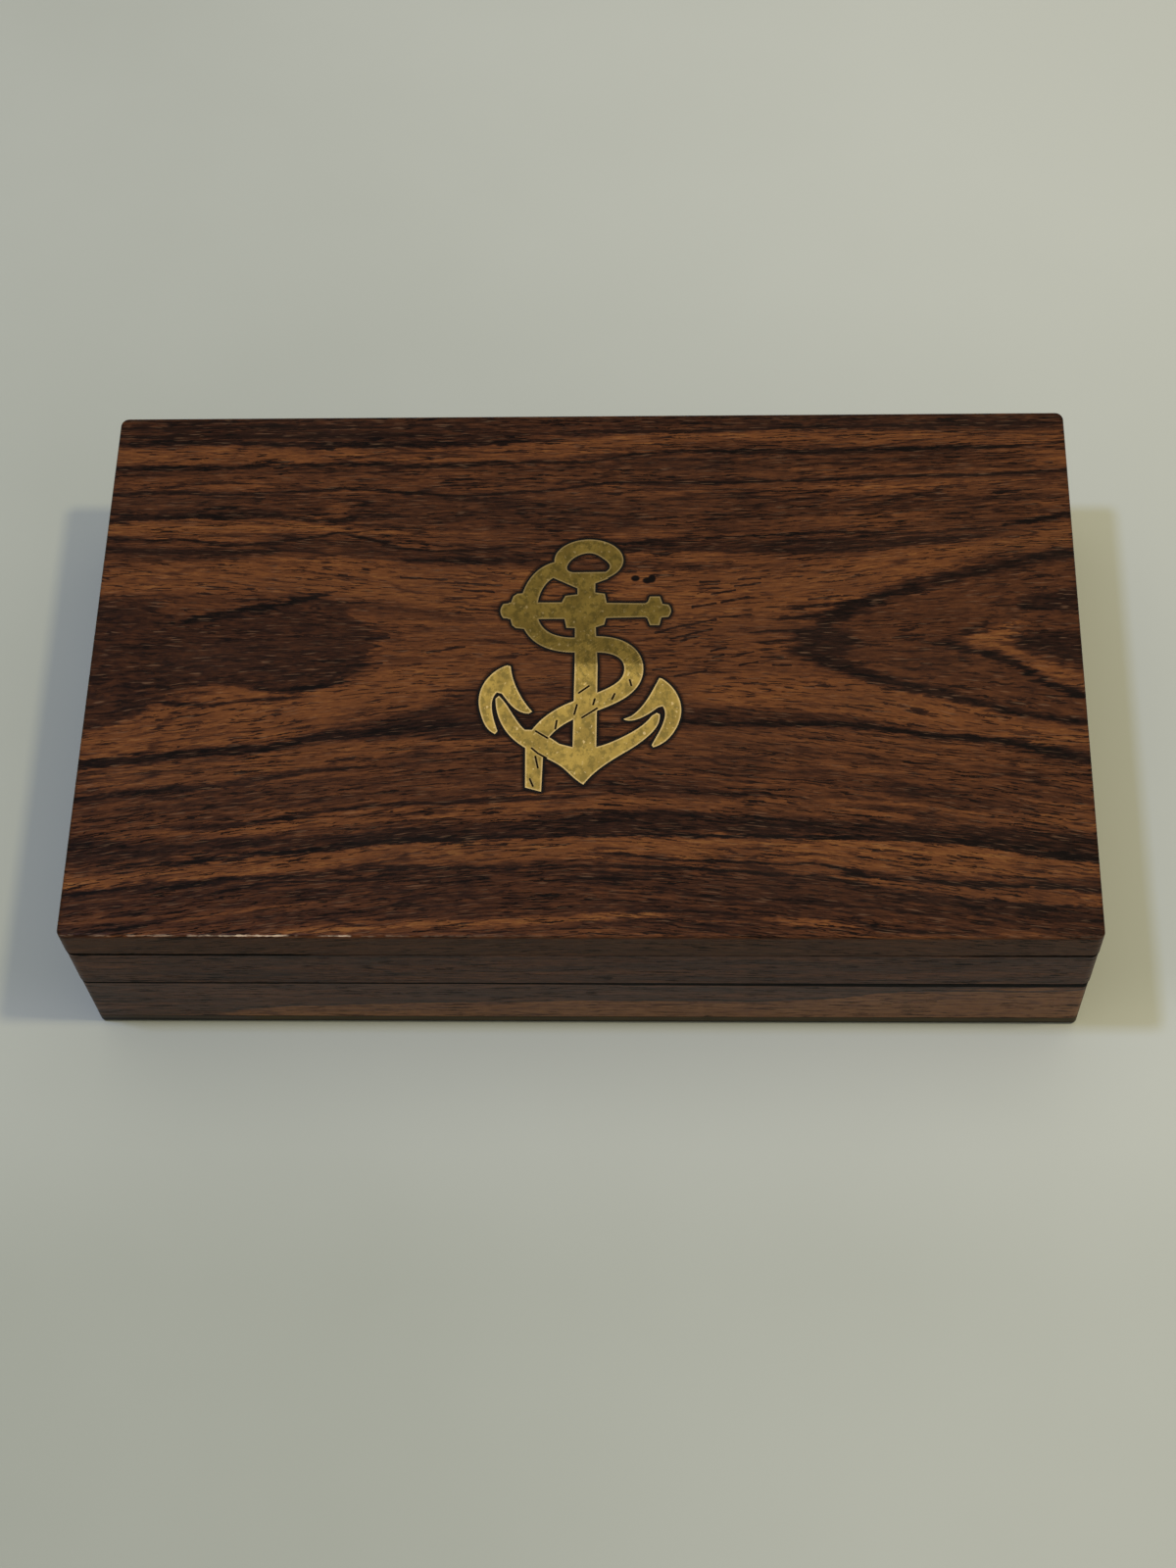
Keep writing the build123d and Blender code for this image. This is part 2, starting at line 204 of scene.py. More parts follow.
def put_on(material, *names):
    for name in names:
        slots = nodes[name].data.materials
        slots.clear()
        slots.append(material)


def placed(name, data):
    made = bpy.data.objects.new(name, data)
    bpy.context.scene.collection.objects.link(made)
    return made


# ---------------- rosewood

# From tone 0, black, to tone 1, light orange
WOOD = (
    (0.00, colour(14, 8, 6)),
    (0.22, colour(41, 23, 15)),
    (0.45, colour(67, 38, 22)),
    (0.65, colour(88, 51, 28)),
    (0.85, colour(108, 64, 33)),
    (1.00, colour(126, 81, 42)),
)
DULL_BROWN = colour(50, 35, 27)
# a painted reflection of the pale floor, greying a board's upright sides
SIDE_REFLECTION_GREY = colour(66, 58, 50)
# pale flecks: wax in the pores, and painted sheen
FLECK_WAX_AND_SHEEN = colour(150, 112, 82)
# a painted highlight on the lid's front top arris
HIGHLIGHT_PALE = colour(205, 178, 150)
STAIN_BLACK = colour(10, 6, 5)
# the black of open joints, and of the painted shade under the lid's rim
JOINT_AND_SHADE_BLACK = colour(4, 3, 2)

# The wood's noises: what is added to a board's seed, a streak's length and width in mm, detail, roughness
STREAKS = {
    "drift": (1.7, 30, 11, 2, 0.55),
    "ragged": (3.1, 4.5, 0.9, 4, 0.65),
    "wave": (5.9, 16, 7, 2, 0.55),
    "finger": (61, 9, 1.1, 2, 0.55),
    "broad": (0, 55, 3.4, 3, 0.55),
    "fine": (9.3, 12, 1, 4, 0.6),
    "contour": (15.1, 80, 6, 2, 0.5),
    "thread": (21, 3.6, 0.55, 3, 0.65),
    "cluster": (29, 18, 6, 2, 0.55),
    "short pore": (33, 5, 0.42, 1.5, 0.4),
    "long pore": (37, 13, 0.5, 1.5, 0.4),
    "fleck": (47, 6, 0.36, 1, 0.4),
    "dull": (55, 60, 14, 2, 0.55),
}

FIGURE_REACH = 130.0     # the figure's strokes run from -130 to 130 mm along the grain
FIGURE_RISE = 100.0      # and lie within 100 mm of the middle across it
FIGURE_AXIS = 5.0        # the tongue and the arrowhead both lie along this line
STROKE_HALF = 30.0       # no stroke's half width is more
STROKE_END = 0.02        # a stroke that ends inside the figure closes over this share of it
THIN_HALF = 0.7          # strokes with no more half width are crisp lines over the fine streaks
CRACK_WIDTH = 0.42
PLAIN_GLOSS = 0.12


class Rosewood(Pattern):
    """The wood of one board. u runs along its grain, and v across it, up its face from origin_mm and on over
    its top. lean is v as the streaks bend."""

    def __init__(self, name, face, seed, origin_mm, flow):
        super().__init__(name)
        self.seed = seed
        self.u, depth, sign = {"front": (self.x, self.y, 1), "back": (self.x, self.y, -1),
                               "left": (self.y, self.x, 1), "right": (self.y, self.x, -1)}[face]
        self.v = self.scaled_sum(depth, sign, self.less(self.z, origin_mm))
        self.drift = self.streaks("drift", self.v)
        self.ragged = self.streaks("ragged", self.v)
        bent = flow(self) if flow else self.v
        self.lean = self.add(bent, self.swing(self.streaks("wave", self.v), 0.6))
        self.lean_rough = self.add(self.lean, self.swing(self.ragged, 0.8))
        self.thread = self.streaks("thread", self.lean)
        self.broken = self.rise(self.thread, 0.30, 0.52, 0.4, 1.0)

    def streaks(self, kind, across):
        offset, length, width, detail, roughness = STREAKS[kind]
        return self.grain_noise(self.u, across, self.seed + offset, length, width, detail, roughness)

    def figure_place(self, along):
        """From 0 at the figure's left end to 1 at its right end."""
        return self.scaled_sum(along, 0.5 / FIGURE_REACH, 0.5)


def painted(wood, tone, along, across, strokes, broken=None):
    """Lays the given strokes on a tone. broken is a share that breaks them up.

    A stroke is its tone, its cover, the softness of its edges, and points of along, across and half width in
    millimetres. A half width below nought ends it."""
    place = wood.figure_place(along)
    for level, cover, soft, *points in strokes:
        middle_points = [((p[0] / FIGURE_REACH + 1) / 2, p[1]) for p in points]
        half_points = [((p[0] / FIGURE_REACH + 1) / 2, p[2]) for p in points]
        if points[0][0] > -FIGURE_REACH:
            half_points.insert(0, (half_points[0][0] - STROKE_END, -2 * soft))
        if points[-1][0] < FIGURE_REACH:
            half_points.append((half_points[-1][0] + STROKE_END, -2 * soft))
        middle = wood.curve(place, middle_points, -FIGURE_RISE, FIGURE_RISE)
        half = wood.curve(place, half_points, -STROKE_HALF, STROKE_HALF)
        beyond = wood.less(half, wood.apart(across, middle))
        inside = wood.rise(beyond, -soft, soft, 0.0, min(1.0, cover + 0.06))
        tone = wood.mix(wood.times(inside, broken) if broken else inside, tone, level)
    return tone


def knots(wood, tone, along, across, spots):
    """Small round spots: tone, cover, soft, (along, across, half length, half width)."""
    for level, cover, soft, (middle_x, middle_y, half_x, half_y) in spots:
        off_x = wood.times(wood.less(along, middle_x), 1 / half_x)
        off_y = wood.times(wood.less(across, middle_y), 1 / half_y)
        away = wood.math("SQRT", wood.add(wood.times(off_x, off_x), wood.times(off_y, off_y)))
        tone = wood.mix(wood.rise(away, 1 + soft, 1 - soft, 0.0, cover), tone, level)
    return tone


def streaked(wood, level, contrast, quiet, figure, spots):
    """The tone of the streaks. The figure's bands and spots lie under the fine ones, its lines over them."""
    lines = [stroke for stroke in figure if max(point[2] for point in stroke[3:]) <= THIN_HALF]
    bands = [stroke for stroke in figure if stroke not in lines]
    strength = wood.less(1.0, quiet)
    u_rough = wood.add(wood.u, wood.swing(wood.streaks("finger", wood.v), 7.0))
    v_drift = wood.add(wood.v, wood.swing(wood.drift, 1.2))
    v_rough = wood.add(v_drift, wood.swing(wood.ragged, 1.5))
    v_fine = wood.add(v_drift, wood.swing(wood.ragged, 0.9))
    broad = wood.streaks("broad", wood.lean_rough)
    tone = wood.scaled_sum(broad, 1.7 * contrast, level - 0.85 * contrast)
    tone = painted(wood, tone, u_rough, v_rough, bands)
    tone = knots(wood, tone, wood.u, v_rough, [spot for spot in spots if spot[0] > 0])
    fine = wood.swing(wood.streaks("fine", wood.lean_rough), 0.55 * contrast)
    tone = wood.add(tone, wood.times(fine, strength))
    vein = wood.rise(wood.apart(wood.streaks("contour", wood.lean_rough), 0.52), 0.020, 0.003)
    tone = wood.mix(wood.times(wood.times(vein, strength), 0.6 * contrast), tone, 0.03)
    tone = wood.add(tone, wood.swing(wood.thread, 0.425 * contrast))
    return painted(wood, tone, wood.u, v_fine, lines, wood.broken)


def pores(wood, quiet):
    """Short and long pores in clusters, fewer where the wood is quiet."""
    short = wood.rise(wood.streaks("short pore", wood.lean), 0.60, 0.63)
    long = wood.rise(wood.streaks("long pore", wood.lean_rough), 0.60, 0.625)
    cluster = wood.rise(wood.streaks("cluster", wood.v), 0.36, 0.60, 0.35, 1.0)
    return wood.times(wood.times(wood.largest(short, long), cluster), wood.scaled_sum(quiet, -0.5, 1.0))


def open_cracks(wood, cracks):
    shift = wood.swing(wood.ragged, 0.7)
    crack = 0.0
    for ends in cracks:
        crack = wood.largest(crack, wood.smear(*ends, CRACK_WIDTH, shift))
    return crack


def rosewood(name, face, seed, level, contrast, lines, gloss, figure=(), spots=(), cracks=(),
             origin_mm=0.0, flow=None, calm=None, side_level=None, painted_highlight=None, stained=None):
    """Polished rosewood on one face of the box. level and contrast are the streaks', and figure, spots and
    cracks are given one by one. lines is where a joint is black, or on the base walls where shade is painted
    under the lid's rim, gloss is the polish, flow bends the streaks, calm quiets them, side_level is the tone
    of a board's sides, which also get a painted grey reflection, painted_highlight is where a highlight is
    painted on an edge, and stained is where the wood is black."""
    wood = Rosewood(name, face, seed, origin_mm, flow)
    quiet = calm(wood) if calm else 0.0
    tone = streaked(wood, level, contrast, quiet, figure, spots)
    if side_level is not None:
        upright = wood.rise(wood.facing_z, 0.75, 0.25)
        tone = wood.mix(wood.times(upright, 0.62), tone, side_level)
    pore = pores(wood, quiet)
    tone = wood.mix(wood.times(pore, 0.35 + 0.6 * contrast), tone, -0.05)
    if cracks:
        crack = open_cracks(wood, cracks)
        tone = wood.mix(wood.times(wood.times(crack, wood.broken), 0.9), tone, 0.03)
        pore = wood.largest(pore, crack)
    v_knot = wood.scaled_sum(wood.ragged, 0.5, wood.add(wood.v, -0.25))
    tone = knots(wood, tone, wood.u, v_knot, [spot for spot in spots if spot[0] == 0])

    shade = wood.ramp(wood.largest(tone, 0.0), WOOD)
    shade = wood.tint(wood.rise(wood.streaks("dull", wood.v), 0.42, 0.75, 0.0, 0.2), shade, DULL_BROWN)
    # painted reflection: the upright sides greyed as the pale floor's reflection would grey them
    if side_level is not None:
        shade = wood.tint(wood.times(upright, 0.3), shade, SIDE_REFLECTION_GREY)
    # pale flecks in the darker streaks: wax in the pores, and painted sheen
    fleck = wood.rise(wood.streaks("fleck", wood.lean), 0.63, 0.72)
    fleck = wood.times(fleck, wood.rise(tone, 0.2, 0.6, 0.8, 0.6))
    shade = wood.tint(wood.times(fleck, 0.38 * contrast), shade, FLECK_WAX_AND_SHEEN)
    # a painted highlight along the lid's front top arris
    if painted_highlight:
        shade = wood.tint(painted_highlight(wood), shade, HIGHLIGHT_PALE)
    if stained:
        shade = wood.tint(stained(wood), shade, STAIN_BLACK)
    # black joints, and on the base walls painted shade under the lid's rim
    black = lines(wood)
    shade = wood.tint(black, shade, JOINT_AND_SHADE_BLACK)
    rough = wood.add(wood.scaled_sum(wood.drift, 0.14, 0.33), wood.times(pore, 0.2), wood.times(black, 0.5))
    relief = wood.add(wood.times(pore, -0.7), wood.times(wood.thread, 0.6), wood.times(wood.ragged, 0.25))
    return wood.finish({"Base Color": shade, "Roughness": rough, "Specular IOR Level": gloss}, relief, 0.06)


# The strokes of the lid's top, from back to front, as painted() takes them
LID_FIGURE = (
    # the back edge: a dark zone with lines, and the light band in front of it
    (0.3, 0.8, 1.2, (-130, 73.5, 4.3), (-40, 73.3, 4.3), (0, 75, 3.5), (60, 74.5, 3.6), (130, 75, 3)),
    (0.78, 0.75, 1, (-130, 64.8, 2.6), (-90, 64.8, 2.8), (-40, 64.2, 2.2), (-10, 66.2, 2.4), (10, 69.2, 2.6),
     (60, 70.6, 2), (90, 70, 1.5), (130, 70, 1)),
    (0.36, 0.6, 1.4, (-130, 58, 2.6), (-60, 58.5, 2.3), (0, 59, 2.5), (20, 61.5, 2.3), (80, 62.8, 2.3),
     (105, 63, 1.6), (130, 63, -1.5)),
    (0.62, 0.5, 1.3, (-130, 55, 2), (-60, 56.5, 2.2), (0, 57, 1.5), (60, 58, 1), (100, 54, 2.5),
     (130, 53, 3)),
    (0.36, 0.65, 1.2, (-130, 48.3, 3.3), (-80, 49, 3.2), (-40, 47, 4), (0, 45, 5), (40, 46, 4), (70, 47, 1),
     (100, 46, 0.6), (130, 47, 1)),
    (0.06, 0.8, 0.4, (-130, 73.8, 0.35), (-60, 73.9, 0.3), (-40, 74, -0.3)),
    (0.06, 0.85, 0.5, (-130, 71, 0.5), (-80, 71, 0.6), (-40, 71.2, 0.4), (-30, 71, -0.4)),
    (0.06, 0.85, 0.6, (-130, 68.7, 0.8), (-80, 68.6, 0.9), (-40, 68.3, 1), (-20, 68.8, 0.7),
     (-5, 69.5, -0.4)),
    (0.06, 0.8, 0.4, (-5, 72.5, -0.3), (5, 72.3, 0.5), (20, 71.8, 0.6), (40, 72.3, 0.6), (60, 73, 0.4),
     (100, 73.5, 0.4), (130, 74.5, 0.3)),
    (0.04, 0.85, 0.4, (-130, 61, 0.5), (-115, 61, 1), (-100, 60.5, 0.6), (-80, 61.5, 0.6), (-60, 61.5, 0.5),
     (-40, 61, 0.7), (-20, 61.5, 0.6), (5, 62.6, 0.4), (14, 64.4, 0.5), (55, 64.8, 0.9), (80, 65.4, 0.8),
     (100, 66, 0.6), (130, 67.8, 0.4)),
    (0.78, 0.7, 0.6, (85, 56.3, -0.4), (95, 57.8, 0.7), (110, 59.2, 0.9), (130, 60.5, 1.2)),
    (0.03, 0.9, 0.35, (-130, 52, 0.6), (-110, 52.7, 0.5), (-100, 52, 0.4), (-80, 52.8, 0.4),
     (-60, 53.5, 0.4), (-50, 52.4, 0.5), (-40, 51.7, 0.5), (-20, 52.2, 0.4), (5, 55, 0.4), (40, 55.5, 0.4),
     (70, 56, 0.4), (100, 57.2, 0.5), (130, 58.3, 0.4)),
    # the left side between the knots and the black wavy line
    (0.05, 0.85, 0.5, (-130, 43.5, 0.8), (-120, 44.3, 1), (-100, 45, 0.9), (-80, 44.8, 0.7),
     (-72, 43.6, 0.8), (-66, 43.2, 0.8), (-60, 44.6, 0.8), (-50, 45, 0.5), (-40, 45, -0.4)),
    (0.84, 0.85, 0.7, (-130, 41, 1.7), (-100, 41, 2.2), (-75, 41.2, 2), (-60, 40.2, 1), (-45, 38.5, -0.7)),
    (0.32, 0.8, 1, (-130, 34, 2.8), (-100, 33.5, 2.5), (-75, 35.5, 2.5), (-55, 34, 2.5), (-45, 32.5, 2.2),
     (-28, 32, 2), (-12, 32, 1.2), (0, 33, -1)),
    (0.02, 0.9, 0.35, (-130, 39, 0.3), (-116, 37.5, 0.4), (-104, 37.8, 0.4), (-97, 36.5, 0.4),
     (-80, 37, 0.35), (-70, 38.6, 0.4), (-65, 39.4, 0.5), (-60, 38.2, 0.5), (-50, 35.4, 0.4),
     (-40, 34.3, 0.3), (-28, 34.2, 0.3), (-8, 36.5, -0.3)),
    (0.1, 0.7, 0.5, (-130, 36, 0.4), (-115, 34.5, 0.6), (-85, 34, 0.6), (-72, 34, 0.3), (-60, 33, -0.3)),
    (0.12, 0.8, 0.6, (-52, 32, -0.5), (-46, 31.5, 0.8), (-38, 31.2, 1), (-20, 30.4, 0.6), (-8, 30.5, -0.4)),
    # the right side: light patch, fine line and dark band behind the light field
    (0.72, 0.6, 1, (48, 42, -1), (60, 43, 1.2), (75, 43.5, 1.8), (88, 43.5, 1), (96, 43, -1)),
    (0.03, 0.85, 0.35, (8, 36, 0.3), (30, 37.4, 0.4), (45, 38.2, 0.4), (60, 39, 0.4), (90, 39.5, 0.3),
     (112, 41.5, 0.5), (120, 43, 0.9), (130, 44.8, 1)),
    (0.15, 0.78, 0.8, (8, 34, 0.5), (20, 34.6, 1.2), (45, 34.9, 2), (60, 35.1, 2.3), (75, 35.6, 1.8),
     (95, 37.2, 1.2), (104, 38.2, 0.8), (112, 39.7, -0.6)),
    (0.84, 0.35, 0.3, (18, 47.6, -0.3), (24, 47.2, 0.4), (34, 46.6, 0.3), (38, 46.6, -0.3)),
    # the light fields round the middle
    (0.86, 0.7, 2, (-130, 25, 4.5), (-70, 26, 5), (-50, 24, 6), (-20, 20, 8), (20, 19, 9), (50, 21, 8),
     (65, 24, 6.5), (80, 28, 5.5), (100, 33, 3.2), (130, 38.5, 3)),
    (0.74, 0.55, 3, (-62, 4, -3), (-48, 2, 8), (-20, 2, 9), (20, 4, 12), (45, 4, 10), (58, 2, 3),
     (70, -5, -3)),
    (0.82, 0.75, 1.3, (-130, -24.5, 3), (-110, -20.7, 5.5), (-90, -16, 8), (-70, -14.5, 6.5),
     (-55, -10.5, 7), (-40, -8, 5), (-25, -6, -1)),
    (0.82, 0.75, 1.4, (28, -9, 2), (50, -9, 5.5), (65, -10.5, 6), (80, -13.5, 5.5), (100, -17.2, 4.2),
     (130, -23, 3.6)),
    # the left tongue, its black upper line and the broken lines under it
    (0.29, 0.95, 0.8, (-130, 0, 20), (-118, 0.8, 18.6), (-111, 2.5, 16), (-107, 1, 11.5), (-100, 2.5, 10.3),
     (-90, 4.2, 11.2), (-80, 4.9, 13), (-73, 6, 14.4), (-67, 7, 13), (-62, 6, 10.5), (-57.5, 5.2, 6.6),
     (-54, 7.2, 3.4), (-51, 7.5, -0.8)),
    (0.34, 0.55, 3, (-105, 3, -3), (-95, 3, 2), (-80, 4, 4), (-66, 9, 3), (-58, 9, -3)),
    (0, 0.9, 0.5, (-109, 11.5, -0.3), (-104, 12.3, 0.8), (-90, 15.3, 1.1), (-80, 17.2, 1), (-74, 19.3, 0.9),
     (-68, 20.3, 0.6), (-65, 20.5, -0.4)),
    (0.03, 0.8, 0.35, (-108, -12, 0.4), (-95, -12.5, 0.4), (-85, -11.3, 0.5), (-75, -10.8, 0.5),
     (-65, -10.3, -0.3)),
    (0.03, 0.8, 0.5, (-92, -7, -0.3), (-82, -8, 0.5), (-75, -8.6, 0.9), (-68, -7.3, 0.9), (-62, -5.3, 0.5),
     (-56, -3, -0.3)),
    # the right arrowhead, dark along both edges, with its inner points
    (0.5, 0.9, 0.8, (54, 5, -0.8), (56.5, 5.2, 3), (60, 5.6, 6.2), (65, 6.4, 9.2), (70, 6.6, 11.4),
     (80, 6.8, 15.2), (90, 7.2, 17.9), (100, 7.6, 20.5), (110, 7.2, 23.2), (130, 7.2, 26.6)),
    (0.09, 0.88, 1.2, (55, 7, 1.3), (60, 10.3, 2.1), (65, 13.6, 2.4), (70, 16.2, 2.2), (80, 20.2, 1.7),
     (100, 26.6, 1.4), (110, 29.3, 1.5), (130, 32.6, 1.6)),
    (0.09, 0.88, 1.1, (55, 3, 1.7), (60, 0.6, 2), (70, -3, 1.9), (80, -6.6, 1.5), (90, -9.2, 1.4),
     (100, -11.8, 1.3), (110, -15, 1.2), (130, -18.9, 1.2)),
    (0.13, 0.85, 2.2, (55.5, 5, 0.4), (58, 5.2, 3.4), (61, 5.5, 5), (65, 6, 4.6), (69, 6.3, 2),
     (74, 6.5, -2.4)),
    (0.02, 0.85, 0.3, (44, 8.4, 0.3), (50, 9.2, 0.4), (58, 9.6, 0.4), (66, 11.5, -0.3)),
    (0.02, 0.85, 0.3, (50, 12.6, 0.3), (56, 13.4, 0.4), (66, 14.6, 0.3)),
    (0.02, 0.85, 0.3, (53, 15.6, 0.3), (60, 16.4, 0.5), (68, 17.4, 0.3)),
    (0.02, 0.85, 0.3, (46, 5.2, 0.3), (53, 6, 0.4), (58, 6.2, -0.3)),
    (0.03, 0.85, 0.6, (90.5, 5.3, 0.4), (94, 4.8, 1), (100, 2.8, 0.9), (106, 1, 1), (112, -2.5, 1.2),
     (118, -6.5, 1.2), (130, -11.5, 1)),
    (0.06, 0.7, 0.7, (91, 6, 0.3), (97, 8.2, 0.6), (101, 10.8, 0.8), (104, 14, 0.4), (108, 17, -0.6)),
    (0.9, 0.9, 0.6, (97.5, 5.8, -0.5), (100, 6.2, 1.4), (104, 7.2, 2.8), (107, 8.2, 2.5), (110, 10.5, 1.2),
     (114, 12, -0.6)),
    (0.84, 0.88, 0.7, (100, 5.5, 0.4), (107, 4, 1.5), (112, 1, 1.6), (118, -2, 1.6), (124, -5, 1.8),
     (130, -7, 1.8)),
    (0.18, 0.88, 0.9, (109.5, 6, -0.6), (112, 6, 2), (116, 5.5, 3.2), (122, 4.6, 4.2), (130, 4.2, 5)),
    (0.18, 0.88, 0.9, (109.5, 17.5, -0.6), (113, 17.6, 1.7), (118, 17.5, 2.8), (124, 18, 3.5),
     (130, 18.5, 4)),
    # the two black streaks in front of the middle, and the grey zones beside them
    (0.2, 0.65, 2, (-75, -21, -1), (-55, -18.5, 1.5), (-40, -16.5, 3), (-25, -17, 4.5), (-15, -19, 4),
     (0, -22, 2), (10, -22, -1)),
    (0.24, 0.7, 1.8, (12, -16, 1), (25, -16.5, 2), (45, -17, 2), (60, -17.5, 1.6), (75, -19, 0.6),
     (90, -21, -1)),
    (0.04, 0.9, 0.6, (-130, -30, 1), (-120, -29.5, 1.4), (-100, -27, 1.2), (-80, -25, 1.2),
     (-70, -22.6, 1.2), (-60, -21, 1.2), (-50, -19.8, 1.3), (-35, -18.5, 1), (-22, -17.5, -0.6)),
    (0.04, 0.9, 0.5, (20, -16.8, 0.6), (40, -18.6, 0.9), (60, -18.6, 0.7), (70, -19.2, 0.9), (90, -22, 1),
     (110, -24, 1.2), (118, -27, 1.5), (130, -29.5, 1.6)),
    (0.62, 0.6, 1.5, (20, -24, 2), (60, -24.5, 4), (100, -28, 3.2), (130, -33.5, 2.5)),
    (0.8, 0.75, 0.9, (-130, -34.3, 2.3), (-110, -32.7, 3), (-90, -30.6, 3), (-70, -27.6, 3),
     (-55, -25.4, 2.6), (-40, -24, 1.8), (-25, -23.5, 1), (-10, -24, -1)),
    # the chocolate zone and the light line in front of it
    (0.44, 0.72, 1.2, (-130, -46, 5.5), (-110, -42.5, 4.5), (-90, -40, 4), (-70, -37.5, 3.5),
     (-50, -35, 3.2), (-30, -33.5, 3), (30, -33.5, 2.5), (60, -34, 2), (90, -36, 1.8), (130, -40, 2)),
    (0.1, 0.8, 0.5, (-130, -40, 0.7), (-110, -37.5, 0.8), (-90, -35.5, 0.7), (-75, -33, 0.6),
     (-60, -31, 0.6), (-45, -30.3, -0.4)),
    (0.8, 0.75, 0.8, (-100, -50, -0.5), (-85, -48, 0.8), (-70, -46.2, 1.3), (-60, -44.8, 1.6),
     (-45, -43.5, 1.8), (-20, -42.2, 1.6), (0, -41, 1.2), (50, -40.5, 0.7), (80, -41.5, 0.7),
     (100, -44.3, 1.6), (115, -45.3, 1.6), (130, -47, 1.8)),
    (0.08, 0.8, 0.4, (-100, -48, 0.5), (-80, -46, 0.6), (-70, -44.2, 0.6), (-60, -42.6, 0.6),
     (-40, -41, 0.5), (0, -38.9, 0.4), (10, -38.7, -0.4)),
    # the darkest band, and the light orange one with its black ragged edges
    (0.18, 0.85, 1, (-130, -54.5, 4), (-110, -54.5, 3), (-100, -54, 2), (-90, -52.3, 1.5), (-60, -51, 1.8),
     (-30, -48.3, 2), (0, -46.5, 2.8), (20, -46.2, 3), (40, -46.5, 2.4), (80, -48, 1.9), (100, -49.8, 2),
     (110, -51, 2.5), (130, -53.5, 3)),
    (0.81, 0.92, 0.6, (-130, -63.4, 2.2), (-110, -62.2, 1.8), (-100, -61, 1.5), (-90, -59.5, 2.4),
     (-60, -56.5, 2.4), (-50, -55, 2.8), (-20, -54, 2.9), (0, -53.2, 2.7), (40, -53.5, 3.4),
     (60, -54.8, 4.2), (80, -55.8, 4.2), (100, -56.8, 3.7), (115, -58.8, 2.7), (130, -60.6, 1.5)),
    (0.01, 0.9, 0.4, (-104, -59.3, -0.4), (-95, -57.6, 0.6), (-80, -55.3, 0.6), (-60, -53.2, 0.7),
     (-50, -51.6, 0.9), (-20, -50.3, 0.7), (0, -49.8, 0.5), (50, -49.8, 0.5), (100, -51.9, 0.6),
     (120, -55.8, 0.9), (130, -57, 0.8)),
    # the front edge: dark with light stripes
    (0.32, 0.7, 1.5, (-130, -72, 5.5), (-80, -68.5, 6), (-40, -66, 6.5), (0, -66.5, 7.5), (60, -68.5, 6.5),
     (100, -71, 5), (130, -74, 4)),
    (0.06, 0.85, 0.5, (-130, -67, 0.7), (-110, -65, 0.8), (-100, -64, 0.8), (-80, -62, 0.6),
     (-60, -60.5, 0.7), (-45, -58.8, 0.8), (-20, -58.8, 0.4), (0, -58, 0.5), (40, -60, 0.4),
     (60, -61, -0.4)),
    (0.68, 0.65, 0.5, (-130, -74, 0.4), (-100, -72, 0.6), (-80, -70, 0.5), (-60, -69, 0.3),
     (-40, -69, -0.4)),
    (0.96, 0.85, 0.6, (-70, -76, 0.2), (-45, -74.6, 0.6), (-20, -73.3, 1), (5, -72, 1), (20, -71, 0.5),
     (30, -71, -0.5)),
    (0.12, 0.7, 1.2, (-8, -62, -1.2), (2, -62, 1.8), (10, -62, 1.5), (20, -62, -1.2)),
    (0.76, 0.8, 0.7, (64, -61.3, -0.5), (75, -62.7, 0.8), (90, -64, 1), (100, -65.5, 1.2), (130, -68, 1.5)),
    (0.1, 0.8, 0.5, (55, -60.2, -0.3), (70, -61, 0.5), (85, -62.1, 0.5), (100, -62.9, 0.7),
     (115, -63.6, 0.8), (130, -64.7, 0.6)),
    (0.14, 0.75, 0.8, (66, -65, -0.5), (80, -67, 1), (100, -69.4, 1.3), (130, -72.6, 1.4)),
    (0.86, 0.8, 0.6, (42, -72, -0.6), (52, -73, 0.9), (62, -73.8, 0.9), (75, -75, -0.6)),
    # crisp black lines and pale hairlines in the front third
    (0.01, 0.92, 0.25, (28, -49.4, -0.3), (33, -49.5, 0.3), (45, -49.8, 0.3), (60, -50.5, 0.35),
     (75, -51, 0.3), (85, -51.5, 0.35), (97, -52.3, 0.4), (103, -53.3, 0.3), (115, -55.8, 0.5),
     (130, -58, 0.3)),
    (0, 0.92, 0.25, (-104, -59.5, -0.3), (-97, -58, 0.5), (-92, -57.4, 0.3), (-89, -55.3, 0.3),
     (-80, -54.8, 0.35), (-65, -53.8, 0.5), (-60, -52.2, 0.4), (-52, -51.9, 0.4), (-45, -51.5, 0.35),
     (-30, -51.1, 0.4), (-25, -51.3, -0.3)),
    (0, 0.9, 0.25, (-2, -55, -0.3), (10, -54.6, 0.35), (20, -56, 0.3), (35, -57, 0.35), (50, -57.6, 0.3),
     (60, -58, 0.4), (68, -60.2, 0.5), (73, -61.2, -0.3)),
    (0.02, 0.88, 0.25, (8, -57.2, -0.3), (25, -58.6, 0.3), (45, -60.6, 0.3), (60, -61.3, 0.35),
     (66, -62.7, 0.5), (72, -63.6, 0.35), (78, -65.6, -0.3)),
    (0.03, 0.88, 0.25, (80, -60.5, -0.3), (85, -61.5, 0.3), (95, -63, 0.5), (100, -63.3, 0.3),
     (110, -63.8, 0.35), (130, -65.2, 0.3)),
    (0.04, 0.85, 0.3, (85, -66, -0.3), (92, -66.8, 0.3), (100, -67.5, 0.35), (110, -68.5, 0.3),
     (130, -69.7, 0.3)),
    (0.08, 0.8, 0.3, (20, -64, -0.3), (30, -66, 0.3), (50, -67, 0.3), (60, -68.5, 0.35), (70, -69.3, 0.3),
     (85, -71, 0.3), (95, -71.5, -0.3)),
    (0.04, 0.85, 0.3, (60, -71.5, -0.3), (68, -73, 0.3), (72, -75, 0.5), (85, -75.5, 0.4), (100, -77, -0.3)),
